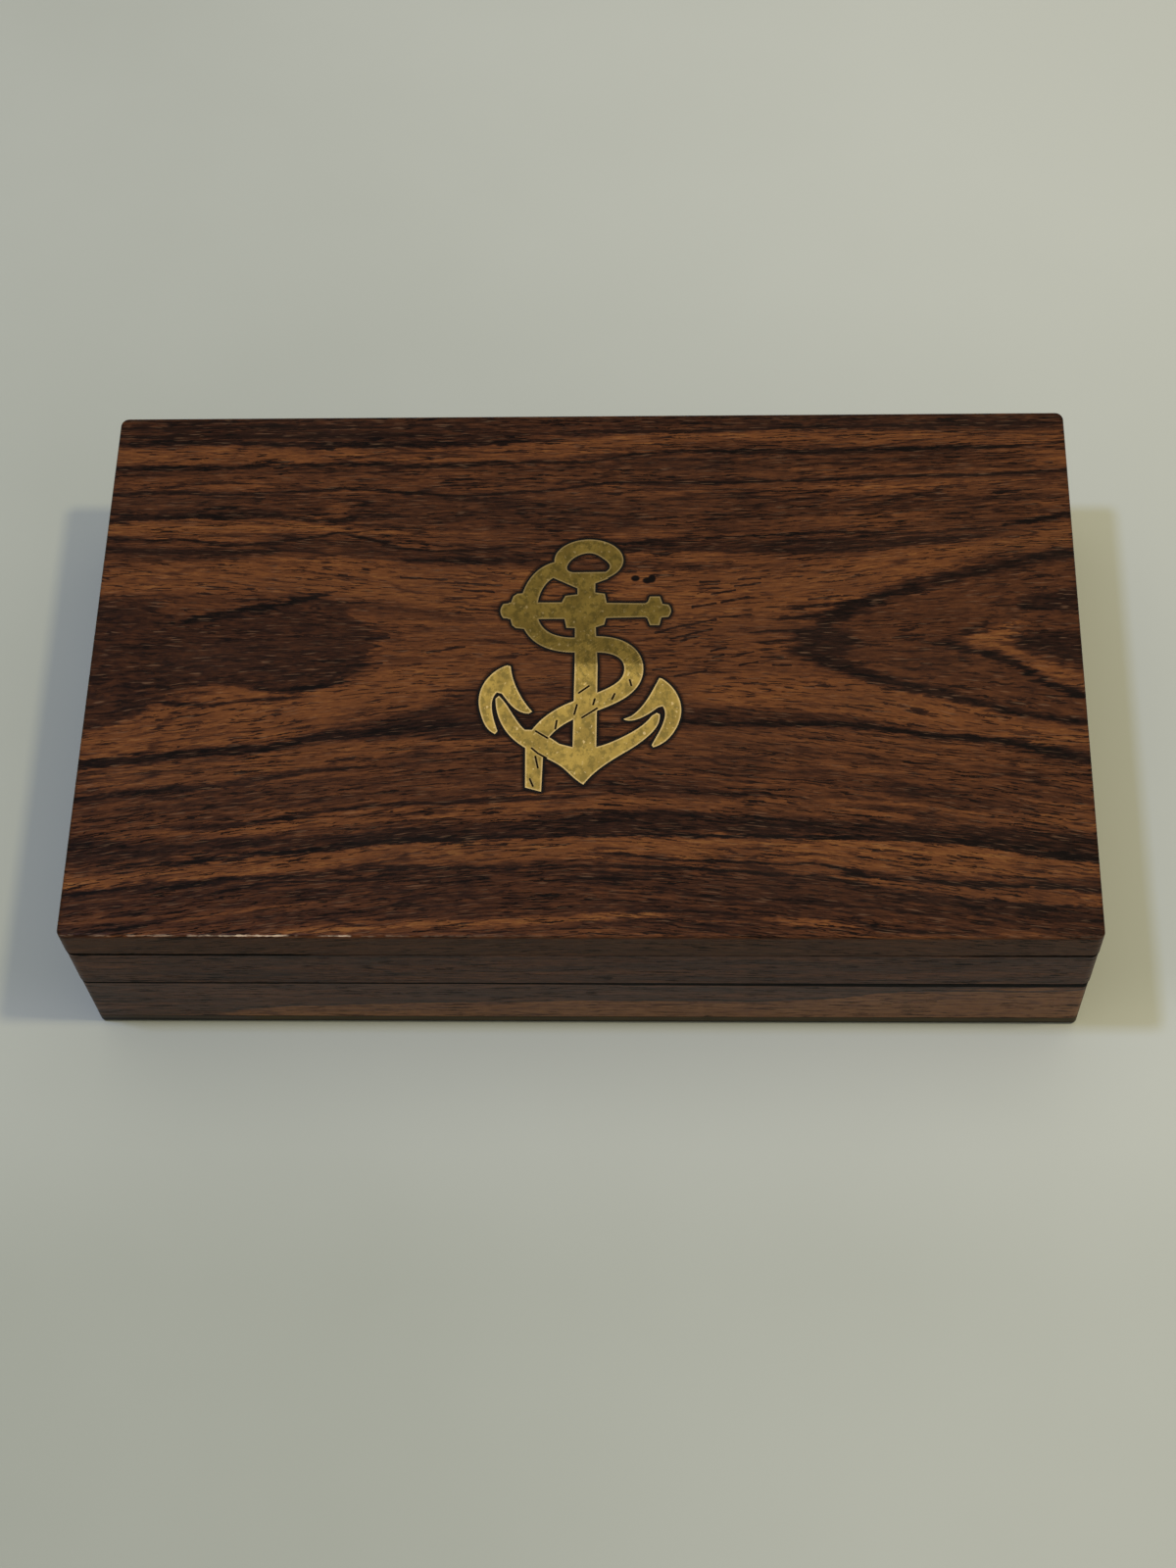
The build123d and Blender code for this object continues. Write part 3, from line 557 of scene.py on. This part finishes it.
    (0.05, 0.85, 0.3, (8, -70.6, -0.3), (15, -70.3, 0.3), (25, -70.2, 0.3), (40, -71.2, 0.35),
     (46, -71.7, -0.3)),
    (0.03, 0.88, 0.3, (-104, -68.5, -0.3), (-90, -66, 0.3), (-75, -63, 0.35), (-66, -62.3, 0.3),
     (-50, -62, 0.3), (-38, -61, -0.3)),
    (0.98, 0.75, 0.2, (29, -48.9, -0.2), (33, -48.95, 0.2), (43, -49.2, -0.2)),
    (0.9, 0.7, 0.25, (-112, -50.8, -0.2), (-100, -49.6, 0.2), (-85, -48.6, 0.2), (-72, -47.7, 0.2),
     (-60, -46, -0.2)),
    (0.88, 0.7, 0.25, (-106, -74.3, -0.2), (-97, -73.2, 0.2), (-85, -71.2, 0.25), (-70, -69, 0.2),
     (-60, -67.5, -0.2)),
    (0.92, 0.75, 0.25, (49, -73.4, -0.2), (55, -73.7, 0.25), (66, -74.7, -0.2)),
    (0.92, 0.7, 0.25, (20, -72.6, -0.2), (30, -73, 0.2), (45, -73, -0.2)),
)
LID_KNOTS = (
    (0.92, 0.55, 0.8, (15, 24.6, 6.5, 2.8)),
    (0.15, 0.7, 0.3, (20.5, 27.3, 3.2, 0.35)),
    (0.1, 0.7, 0.3, (12.5, 27.4, 3.4, 0.3)),
    (0.15, 0.6, 0.3, (21, 22.6, 2.4, 0.3)),
    (0, 1, 0.25, (13.2, 25.2, 1.1, 0.85)),
    (0, 1, 0.25, (16.3, 24.5, 1.2, 0.95)),
    (0, 1, 0.25, (17.5, 25.1, 0.95, 1.25)),
    (0.86, 0.75, 0.6, (-66, 47, 3.4, 1.8)),
    (0.7, 0.6, 0.6, (-67, 34.6, 3.2, 1.1)),
    (0.55, 0.6, 0.6, (-70, 16.8, 2.6, 1.8)),
    (0.04, 0.8, 0.5, (-70, 16.9, 1.4, 1)),
    (0.45, 0.8, 0.4, (-70, 16.9, 0.7, 0.5)),
)

# Open cracks along the grain, between two places in plan
LID_CRACKS = (
    (18.5, 8.6, 24, 10.4), (24.5, 10.5, 34, 12.6), (35, 13.1, 43, 14.1), (22.5, 6.8, 33, 9.6),
    (25, 6.1, 29.5, 7.5), (28, 16.3, 34, 17.4), (35.5, 17.7, 42, 19.3), (32.8, 3.1, 36.6, 4.1),
    (33.2, 1.2, 36, 1.9), (38, 1.4, 43.5, 2.7), (45.5, 1.3, 51, 1.1), (48.5, -1, 53, -1.2),
    (18, -2.5, 24, -1.6), (23.5, -4.4, 31.5, -2.8), (40, -1.1, 44.5, -0.2), (39, 22.7, 45.5, 23.6),
    (40, 24.8, 45.5, 25), (30, 24, 35, 24.2), (33, 20.3, 39, 21.4), (18, 26.4, 23, 26.2),
    (58, 18.5, 66, 19.6), (-40, 3, -35.5, 3.7), (-36, 3.6, -30.5, 4.6), (-48, 25.8, -36, 25),
    (-32, 21.9, -23.5, 21.2), (-30.5, 16.1, -22.5, 15.5), (-38, -8.5, -27, -8.3), (-31, 23.8, -21.5, 23.2),
    (-56, 6.9, -50, 7.5), (-57, -0.6, -51.5, -0.3),
)

# The strokes of the base's front wall
FRONT_FIGURE = (
    (1, 0.85, 0.7, (-100, -74.5, -1), (-84, -71.5, 2.8), (-56, -69.8, 4.4), (0, -68.3, 5.9),
     (50, -68.6, 5.6), (68, -67.5, 7), (78, -66, 8.6), (130, -65, 10.5)),
    (0, 0.75, 0.35, (-100, -73, -0.3), (-84, -67.9, 0.25), (-56, -65.2, 0.3), (7, -62.3, 0.3),
     (30, -61.9, 0.4), (46, -62.9, 0.4), (57, -61.6, 0.4), (67, -60.3, 0.35), (75, -57.8, 0.3),
     (94, -56.2, 0.45), (113, -56.5, 0.4), (130, -53.9, 0.3)),
)

# How black the lid's joint is, and how strong the painted highlight on its front top arris, by place along
# the figure
JOINT_OPEN = ((0, 1), (0.22, 1), (0.26, 0.3), (0.5, 0.12), (0.84, 0.25), (0.88, 0.8), (1, 1))
ARRIS_HIGHLIGHT = (
    (0, 0.1), (0.09, 0.3), (0.14, 0.4), (0.16, 0.9), (0.19, 0.95), (0.197, 0.6), (0.207, 0.95),
    (0.232, 0.8), (0.242, 0.25), (0.258, 0.25), (0.267, 1), (0.285, 1), (0.293, 0.25), (0.36, 0.1),
    (1, 0.06),
)
ARRIS_INSET = 0.25       # the painted highlight's middle, behind the front edge
LINE_SOFT = 0.12         # the soft edge of a joint's black line, and of the painted shade under the lid's rim
STAIN_REACH = 1.5        # how far the inlay's filler has stained the wood
STAIN_FULL, STAIN_GONE = 50.0, 55.0      # the stain's bounds, from the lid's middle


def lid_flow(wood):
    """The streaks fan out from the middle to both ends, bow down in front, and rise at the back right."""
    reach = wood.times(wood.size_of(wood.u), 1 / HALF_LONG_MM)
    front_share = wood.rise(wood.v, 6.0, -50.0)
    bow = wood.times(wood.times(wood.math("POWER", reach, 1.4), front_share), 14.0)
    to_right = wood.rise(wood.u, 35.0, 130.0, 0.0, 4.0)
    back_share = wood.times(wood.rise(wood.v, 8.0, 46.0), wood.rise(wood.v, 78.0, 56.0))
    off_axis = wood.less(wood.v, FIGURE_AXIS)
    near_axis = wood.rise(wood.size_of(off_axis), 42.0, 20.0)
    squeeze = wood.times(wood.times(wood.rise(reach, 0.05, 1.0, 0.0, 0.28), near_axis), off_axis)
    return wood.less(wood.add(wood.v, bow), wood.add(wood.times(to_right, back_share), squeeze))


def calm_middle(wood):
    """The lid's middle is quieter than its front and back."""
    return wood.rise(wood.apart(wood.v, FIGURE_AXIS), 36.0, 16.0, 0.0, 0.45)


def joint_line(wood):
    """The glued joint under the lid board: open at the front's left end, closed in the middle."""
    open_share = wood.curve(wood.figure_place(wood.x), JOINT_OPEN, 0.0, 1.0)
    width = wood.scaled_sum(wood.ragged, 0.8, 0.28)
    beyond = wood.less(wood.apart(wood.z, JOINT_MM), width)
    return wood.times(wood.rise(beyond, LINE_SOFT, -LINE_SOFT), open_share)


def rim_shade_and_dirt(wood, least=0.85, most=0.85):
    """Painted shade, with some dirt, where the lid closes on the base, from least at the left to most at the
    right.
    """
    width = wood.add(wood.rise(wood.x, -40.0, 90.0, least, most), wood.swing(wood.ragged, 0.25))
    beyond = wood.less(wood.less(RIM_MM, wood.z), width)
    outside = wood.rise(wood.facing_z, 0.97, 0.9)
    return wood.times(wood.rise(beyond, LINE_SOFT, -LINE_SOFT), outside)


def front_rim_shade_and_dirt(wood):
    """In front the lid stands a little open to the right, and the painted shade there is wider."""
    return rim_shade_and_dirt(wood, 0.85, 2.0)


def arris_highlight(wood):
    """A highlight is painted along the lid's front top arris, here and there, most of all left of the middle.
    """
    width = wood.rise(wood.grain_noise(wood.x, wood.v, 75.0, 2.2, 3.0, 2.0), 0.35, 0.65, 0.12, 0.5)
    line = wood.rise(wood.apart(wood.v, FRONT_MM + ARRIS_INSET), width, wood.times(width, 0.5))
    share = wood.curve(wood.figure_place(wood.x), ARRIS_HIGHLIGHT, 0.0, 1.0)
    broken = wood.rise(wood.grain_noise(wood.x, wood.v, 71.0, 6.0, 3.0, 3.0), 0.42, 0.55)
    return wood.times(wood.times(line, share), wood.largest(broken, wood.less(share, 0.6)))


def inlay_stain(wood):
    """Round the inlay the filler has stained the wood."""
    off_middle = wood.largest(wood.size_of(wood.x), wood.size_of(wood.y))
    near_inlay = wood.rise(off_middle, STAIN_GONE, STAIN_FULL)
    return wood.times(wood.times(wood.near_edge(STAIN_REACH), near_inlay), 0.85)


def paint_wood():
    """Every board's own grain: the lid's figure, quiet fronts, and plain streaks on the rest."""
    put_on(rosewood("rosewood_lid_top", "front", 2.0, 0.55, 0.85, joint_line, 0.05, LID_FIGURE, LID_KNOTS,
                    LID_CRACKS, TOP_MM, flow=lid_flow, calm=calm_middle, side_level=0.56,
                    painted_highlight=arris_highlight, stained=inlay_stain), "lid_board")
    put_on(rosewood("rosewood_base_front", "front", 17.0, 0.5, 0.48, front_rim_shade_and_dirt, 0.2, FRONT_FIGURE),
           "base_front_wall")
    plain = (
        ("lid_front_rail", "front", 11.0, 0.49, 0.6, joint_line),
        ("lid_back_rail", "back", 23.0, 0.42, 0.8, joint_line),
        ("lid_left_rail", "left", 31.0, 0.36, 0.7, joint_line),
        ("lid_right_rail", "right", 41.0, 0.38, 0.7, joint_line),
        ("base_back_wall", "back", 29.0, 0.45, 0.8, rim_shade_and_dirt),
        ("base_left_wall", "left", 37.0, 0.40, 0.7, rim_shade_and_dirt),
        ("base_right_wall", "right", 43.0, 0.42, 0.7, rim_shade_and_dirt),
    )
    for node, face, seed, level, contrast, lines in plain:
        put_on(rosewood("rosewood_" + node, face, seed, level, contrast, lines, PLAIN_GLOSS), node)


# ---------------- metals, filler, panel

# The chased cuts in the rope, where it crosses the arms and the shank
CHASED = (
    (-11.4, -20.3, -8.4, -22.3), (-12.3, -25.2, -10.7, -26.7), (-10.7, -26.7, -8.6, -28.0),
    (-11.3, -27.6, -10.6, -30.8), (-12.5, -34.0, -11.7, -36.0), (-6.2, -17.3, -6.5, -19.6),
    (-1.2, -12.7, -1.8, -15.4), (3.3, -11.0, 2.9, -12.6), (8.3, -9.5, 7.7, -11.0), (12.1, -5.4, 12.5, -7.0),
    (-0.8, -9.2, 1.7, -7.2), (0.2, -16.4, 3.9, -13.7),
)
CHASED_WIDTH = 0.38
GROOVE_DIRT = colour(16, 10, 5)
BRASS_RIM_HIGHLIGHT_MM = 0.9       # the rim of each inlaid plate is worn pale, with a painted highlight, this far in
PLY_THICKNESS = 1.0
PLY_BARE = -84.0         # left of here the panel's edge is greyer, and the painted shade along its lower edge grows taller

# Bright, dark, the patina, and the pale of the worn rim with its painted highlight
INLAY_BRASS = (
    (0.455, 0.31, 0.078, 1), (0.315, 0.214, 0.055, 1), (0.18, 0.134, 0.038, 1), (0.85, 0.62, 0.3, 1))
HINGE_BRASS = (
    (0.5, 0.36, 0.15, 1), (0.34, 0.24, 0.1, 1), (0.14, 0.11, 0.05, 1), (0.6, 0.45, 0.22, 1))


def aged_brass(name, seed, roughness, colours, groove_mm=None, highlight_edge_mm=None):
    """Brass with cloudy tarnish and fine scratches, worn pale and given a painted highlight within
    highlight_edge_mm of its rim, and with dirt in the chased cuts and below groove_mm."""
    bright, dark, patina, rim = colours
    brass = Pattern(name)
    cloud = brass.plan_noise(0.16, 0.16, seed, 4.0, 0.6)
    speck = brass.plan_noise(1.3, 1.3, seed + 3, 3.0, 0.6)
    turned = brass.add(brass.times(brass.x, 0.8), brass.times(brass.y, 0.6))
    cross = brass.add(brass.times(brass.x, -0.6), brass.times(brass.y, 0.8))
    scratch = brass.rise(brass.grain_noise(turned, cross, seed + 5, 9.0, 0.22, 2.0), 0.60, 0.72)
    crossing = brass.rise(brass.grain_noise(cross, turned, seed + 8, 7.0, 0.2, 2.0), 0.62, 0.74)
    stain = brass.rise(speck, 0.58, 0.74, 0.0, 0.45)
    blotch = brass.plan_noise(0.55, 0.4, seed + 17, 4.0, 0.65)
    glint = brass.plan_noise(0.9, 0.7, seed + 23, 2.0, 0.5)
    shade = brass.tint(brass.rise(cloud, 0.38, 0.62), bright, dark)
    shade = brass.tint(brass.rise(blotch, 0.46, 0.60, 0.0, 0.7), shade, patina)
    shade = brass.tint(stain, shade, patina)
    shade = brass.tint(brass.times(brass.largest(scratch, crossing), 0.22), shade, bright)
    shade = brass.tint(brass.rise(glint, 0.62, 0.74, 0.0, 0.6), shade, rim)
    # the rim: worn pale, and a painted highlight along the plate's edge
    if highlight_edge_mm:
        shade = brass.tint(brass.times(brass.near_edge(highlight_edge_mm), 0.75), shade, rim)
    rough = brass.add(brass.scaled_sum(cloud, 0.01, roughness - 0.005), brass.times(scratch, 0.02),
                      brass.times(stain, 0.2))
    height = brass.add(brass.times(scratch, -0.004), brass.times(stain, -0.01))
    if groove_mm is not None:
        dirt = brass.rise(brass.z, groove_mm - 0.03, groove_mm - 0.15)
        for ends in CHASED:
            dirt = brass.largest(dirt, brass.smear(*ends, CHASED_WIDTH))
        shade = brass.tint(dirt, shade, GROOVE_DIRT)
        rough = brass.add(rough, brass.times(dirt, 0.5))
    return brass.finish({"Base Color": shade, "Metallic": 1.0, "Roughness": rough}, height, 0.12)


def filler():
    wax = Pattern("black_inlay_filler")
    lump = wax.plan_noise(0.8, 0.8, 4.0, 3.0)
    shade = wax.tint(lump, colour(6, 4, 3), colour(16, 11, 8))
    return wax.finish({"Base Color": shade, "Roughness": 0.6, "Specular IOR Level": 0.1}, lump, 0.1)


def stained_ply():
    """The thin panel: dark stain over three plies, whose edges show, and painted shade along its lower edge.
    """
    ply = Pattern("stained_ply_panel")
    layer = ply.math("SINE", ply.times(ply.z, 2 * math.pi / PLY_THICKNESS))
    fibre = ply.grain_noise(ply.x, ply.add(ply.y, ply.z), 5.0, 14, 0.4, 3.0)
    shade = ply.tint(ply.rise(fibre, 0.35, 0.7), colour(46, 36, 14), colour(74, 58, 28))
    shade = ply.tint(ply.rise(layer, 0.2, 0.9, 0.0, 0.4), shade, colour(30, 24, 10))
    shade = ply.tint(ply.rise(ply.x, PLY_BARE, PLY_BARE - 4.0), shade, colour(60, 48, 38))
    # painted shade along the panel's lower edge, taller at the left where the baize is torn away
    shade_height = ply.rise(ply.x, PLY_BARE, PLY_BARE - 26.0, 0.7, 1.6)
    above = ply.less(ply.less(ply.z, PANEL_LOW_MM), shade_height)
    shade = ply.tint(ply.rise(above, 0.2, -0.2), shade, colour(15, 12, 8))
    return ply.finish({"Base Color": shade, "Roughness": 0.6, "Specular IOR Level": 0.25}, fibre, 0.15)


def dull_steel():
    steel = Pattern("dull_steel_wire")
    spot = steel.plan_noise(2.0, 2.0, steel.z, 3.0)
    shade = steel.tint(spot, (0.20, 0.18, 0.16, 1), (0.42, 0.40, 0.37, 1))
    rough = steel.rise(spot, 0.2, 0.8, 0.3, 0.6)
    return steel.finish({"Base Color": shade, "Metallic": 1.0, "Roughness": rough}, spot, 0.05)


def paint_small_parts():
    put_on(aged_brass("aged_inlay_brass", 3.0, 0.015, INLAY_BRASS, TOP_MM, BRASS_RIM_HIGHLIGHT_MM),
           "anchor_inlay", "left_fluke_inlay", "right_fluke_inlay")
    put_on(filler(), "inlay_filler")
    put_on(stained_ply(), "bottom_panel")
    put_on(dull_steel(), "panel_brads")
    hinge_parts = [f"hinge_{side}_{part}" for side in ("left", "right")
                   for part in ("lower_leaf", "upper_leaf", "pin")]
    put_on(aged_brass("tarnished_hinge_brass", 9.0, 0.38, HINGE_BRASS),
           *hinge_parts, "lower_hinge_screws", "upper_hinge_screws")


# ---------------- cloth

PAD_SPACING = 3 * MM
PAD_SAG = 0.12           # how far a pad's soft face sinks, as a share of its thickness
PAD_RIM = 2.0 * MM
STRIP_RIM = 0.9 * MM
LUMPS_PER_M = (45, 160)  # of the pads' two noises, broad and fine
RIM_STEPS = (0.0, 0.13, 0.45, 1.0)

TORN_LENGTH = 41.5 * MM
TORN_DEPTH = 2.4 * MM
TORN_TAPER = 3.0 * MM
BAIZE_SPACING = 2.5 * MM
BAIZE_FRAY = 0.12 * MM
BAIZE_LUMP = 0.09 * MM
BAIZE_GLUED = 0.02 * MM  # the baize stops this far short of the panel


def cloth_material(name, deep, raised, pile_mm, nap_mm, sheen):
    """Cut cloth: short fibres, and larger patches where the nap lies the other way."""
    cloth = Pattern(name)

    def lumps(size_mm, roughness):
        x, y, z = (cloth.times(place, 1 / size_mm) for place in (cloth.x, cloth.y, cloth.z))
        return cloth.noise(x, y, z, 3.0, roughness)

    fibre = lumps(pile_mm, 0.7)
    share = cloth.add(cloth.times(fibre, 0.75), cloth.times(lumps(nap_mm, 0.5), 0.28))
    shade = cloth.tint(cloth.rise(share, 0.30, 0.75), deep, raised)
    return cloth.finish(
        {"Base Color": shade, "Roughness": 0.9, "Specular IOR Level": 0.15, "Sheen Weight": sheen,
         "Sheen Roughness": 0.45, "Sheen Tint": raised}, fibre, 0.25)


def finished(name, mesh):
    """A scene object from a bmesh, with its faces turned outwards and shaded smooth."""
    bmesh.ops.recalc_face_normals(mesh, faces=mesh.faces)
    data = bpy.data.meshes.new(name)
    mesh.to_mesh(data)
    mesh.free()
    for face in data.polygons:
        face.use_smooth = True
    return placed(name, data)


def fill_grid(mesh, grid):
    """The faces between a grid's corners."""
    for line, following in zip(grid, grid[1:]):
        for j in range(len(line) - 1):
            mesh.faces.new((line[j], following[j], following[j + 1], line[j + 1]))


def steps(length, rim):
    """Places along a length, close together within the rim at each end."""
    near = [share * rim for share in RIM_STEPS]
    count = max(1, round((length - 2 * rim) / PAD_SPACING))
    middle = [rim + (length - 2 * rim) * i / count for i in range(1, count)]
    return near + middle + [length - value for value in reversed(near)]


def cushion(name, low, high, thin_axis, outward, rim):
    """A closed pad between two corners. Its soft face looks outward and rounds over at the rim."""
    across = [axis for axis in range(3) if axis != thin_axis]
    size = [high[axis] - low[axis] for axis in across]
    columns = steps(size[0], rim)
    rows = steps(size[1], rim)
    thickness = high[thin_axis] - low[thin_axis]
    mesh = bmesh.new()

    def corner(i, j, soft):
        edge = min(columns[i], size[0] - columns[i], rows[j], size[1] - rows[j])
        bulge = math.sqrt(max(0.0, 1 - (1 - min(edge / rim, 1)) ** 2))
        place = [0.0, 0.0, 0.0]
        place[across[0]] = low[across[0]] + columns[i]
        place[across[1]] = low[across[1]] + rows[j]
        ripple = sum(noise.noise(Vector(place) * lumps) * 0.5 for lumps in LUMPS_PER_M)
        rise = thickness * bulge * (1 - PAD_SAG * (0.5 + ripple)) if soft else 0.0
        back = low[thin_axis] if outward > 0 else high[thin_axis]
        place[thin_axis] = back + outward * rise
        return mesh.verts.new(place)

    last = (len(columns) - 1, len(rows) - 1)
    soft_side = [[corner(i, j, True) for j in range(len(rows))] for i in range(len(columns))]
    back_side = [[soft_side[i][j] if i in (0, last[0]) or j in (0, last[1]) else corner(i, j, False)
                  for j in range(len(rows))] for i in range(len(columns))]
    fill_grid(mesh, soft_side)
    fill_grid(mesh, back_side)
    return finished(name, mesh)


def baize_sheet():
    """Green baize glued under the panel. Its front left corner is torn away."""
    low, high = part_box("base_baize")
    mesh = bmesh.new()
    columns = round((high.x - low.x) / BAIZE_SPACING)
    rows = round((high.y - low.y) / BAIZE_SPACING)

    def corner(i, j, upper):
        x = low.x + (high.x - low.x) * i / columns
        torn = min(1.0, max(0.0, (low.x + TORN_LENGTH - x) / TORN_TAPER))
        front = low.y + TORN_DEPTH * torn
        y = front + (high.y - front) * j / rows
        inward = Vector(((i == 0) - (i == columns), (j == 0) - (j == rows), 0))
        fray = BAIZE_FRAY * (1 + noise.noise(Vector((x, y, 0)) * 700))
        lump = BAIZE_LUMP * (1 + noise.noise(Vector((x, y, 1)) * 240))
        z = high.z - BAIZE_GLUED if upper else low.z + lump
        return mesh.verts.new(Vector((x, y, z)) + inward * fray)

    sides = [[[corner(i, j, upper) for j in range(rows + 1)] for i in range(columns + 1)]
             for upper in (False, True)]
    for side in sides:
        fill_grid(mesh, side)
    ring = [(i, 0) for i in range(columns)] + [(columns, j) for j in range(rows)]
    ring += [(i, rows) for i in range(columns, 0, -1)] + [(0, j) for j in range(rows, 0, -1)]
    for (i, j), (k, m) in zip(ring, ring[1:] + ring[:1]):
        mesh.faces.new((sides[0][i][j], sides[0][k][m], sides[1][k][m], sides[1][i][j]))
    sheet = finished("baize_sheet", mesh)
    sheet.data.materials.append(
        cloth_material("green_baize", colour(26, 42, 26), colour(52, 78, 46), 0.5, 30, 0.15))
    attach(sheet, "base")
    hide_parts("base_baize")


def linings():
    """The two large pads, and the four strips inside each body's walls."""
    velvet = cloth_material("green_velvet", colour(20, 42, 28), colour(46, 84, 56), 0.35, 16, 0.6)
    places = [
        ("floor_pad", "base_floor_lining", "base", 2, 1, PAD_RIM),
        ("lid_pad", "lid_top_lining", "lid", 2, -1, PAD_RIM),
    ]
    sides = (("front", 1, 1), ("back", 1, -1), ("left", 0, 1), ("right", 0, -1))
    places += [(f"{body}_{side}_strip", f"{body}_lining_{side}", body, thin_axis, outward, STRIP_RIM)
               for body in ("base", "lid") for side, thin_axis, outward in sides]
    for name, node, body, thin_axis, outward, rim in places:
        low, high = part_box(node)
        pad = cushion(name, low, high, thin_axis, outward, rim)
        pad.data.materials.append(velvet)
        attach(pad, body)
        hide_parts(node)


# ---------------- stage, lamps, camera

FLOOR_HALF = 3.0         # metres, as the lamps and the card are
FLOOR_DROP = 0.05 * MM   # keeps the floor clear of the baize
LAMP_SIZE = 0.09
LAMP_AIM = (0, 0, 0.03)
CARD_WIDTH = 1.4
CARD_FRONT, CARD_BACK = -0.25, 0.715     # the brass reflects its back edge, as a boundary
CARD_HEIGHT = 1.25
CARD_GLOW = 0.56
ROOM_GLOW = (0.385, 0.375, 0.315, 1)

CAMERA_PLACE = Vector((29.77, -340.42, 621.56)) * MM
CAMERA_RIGHT = Vector((0.999078, 0.019465, -0.038272))
CAMERA_UP = Vector((0.000944, 0.881166, 0.472806))
CAMERA_LENS_MM = 59.548
CAMERA_SENSOR_MM = 36
CAMERA_NEAR = 0.01


def stage():
    """Pale paper, smooth enough to look plain, with painted light: a little darker to the left and in front,
    and a paler band just in front of the box.
    """
    mesh = bmesh.new()
    bmesh.ops.create_grid(mesh, x_segments=4, y_segments=4, size=FLOOR_HALF)
    bmesh.ops.translate(mesh, vec=(0, 0, -FLOOR_DROP), verts=mesh.verts)
    floor = finished("floor", mesh)
    paper = Pattern("pale_floor")
    cloud = paper.plan_noise(0.006, 0.006, 1.0, 4.0)
    # painted light: a paler band on the floor just in front of the box
    front_light_band = paper.times(paper.rise(paper.y, -150.0, -100.0), paper.rise(paper.y, -60.0, -80.0))
    # painted light falloff: the floor grows paler to the back and to the right
    to_back = paper.rise(paper.y, -200.0, 300.0, 0.0, 0.45)
    to_right = paper.rise(paper.x, -170.0, 170.0, 0.0, 0.5)
    paler = paper.add(to_back, to_right, paper.scaled_sum(cloud, 0.4, -0.12), paper.times(front_light_band, 0.3))
    shade = paper.tint(paler, colour(166, 168, 155), colour(196, 197, 187))
    look = {"Base Color": shade, "Roughness": 0.8, "Specular IOR Level": 0.2}
    floor.data.materials.append(paper.finish(look))


def full_light(place, aim):
    """The energy at which a lamp at place would light aim fully by itself."""
    way = Vector(aim) - Vector(place)
    return math.pi ** 2 * way.length_squared / -way.normalized().z


def lamp(name, place, aim, width, depth, energy, tone):
    data = bpy.data.lights.new(name, "AREA")
    data.shape = "RECTANGLE"
    data.size = width
    data.size_y = depth
    data.color = tone
    data.energy = energy
    made = placed(name, data)
    made.location = place
    made.rotation_mode = "QUATERNION"
    made.rotation_quaternion = (Vector(aim) - Vector(place)).to_track_quat("-Z", "Y")
    made.visible_camera = False


def lamps():
    """A warm and a cool lamp, each with its share of the light, and a white card over the box."""
    world = bpy.data.worlds.new("room")
    world.use_nodes = True
    world.node_tree.nodes["Background"].inputs[0].default_value = ROOM_GLOW
    bpy.context.scene.world = world
    for name, place, share, tone in (("warm_lamp", (0.52, -0.09, 1.3), 0.31, (1.0, 0.91, 0.58)),
                                     ("cool_lamp", (-0.39, -0.05, 1.3), 0.36, (0.44, 0.57, 1.0))):
        lamp(name, place, LAMP_AIM, LAMP_SIZE, LAMP_SIZE, share * full_light(place, LAMP_AIM), tone)
    card_depth = CARD_BACK - CARD_FRONT
    card_middle = (CARD_FRONT + CARD_BACK) / 2
    lamp("ceiling_card", (0, card_middle, CARD_HEIGHT), (0, card_middle, 0), CARD_WIDTH, card_depth,
         CARD_GLOW * math.pi * CARD_WIDTH * card_depth, (1.0, 0.98, 0.92))


def camera():
    """The photograph's viewing angle."""
    data = bpy.data.cameras.new("camera")
    data.lens = CAMERA_LENS_MM
    data.sensor_width = CAMERA_SENSOR_MM
    data.clip_start = CAMERA_NEAR
    back = CAMERA_RIGHT.cross(CAMERA_UP).normalized()
    turn = Matrix((CAMERA_RIGHT, CAMERA_UP, back)).transposed().to_4x4()
    made = placed("camera", data)
    made.matrix_world = Matrix.Translation(CAMERA_PLACE) @ turn
    bpy.context.scene.camera = made


camera()
stage()
lamps()
paint_wood()
paint_small_parts()
baize_sheet()
linings()

bpy.context.scene.view_settings.view_transform = "Standard"
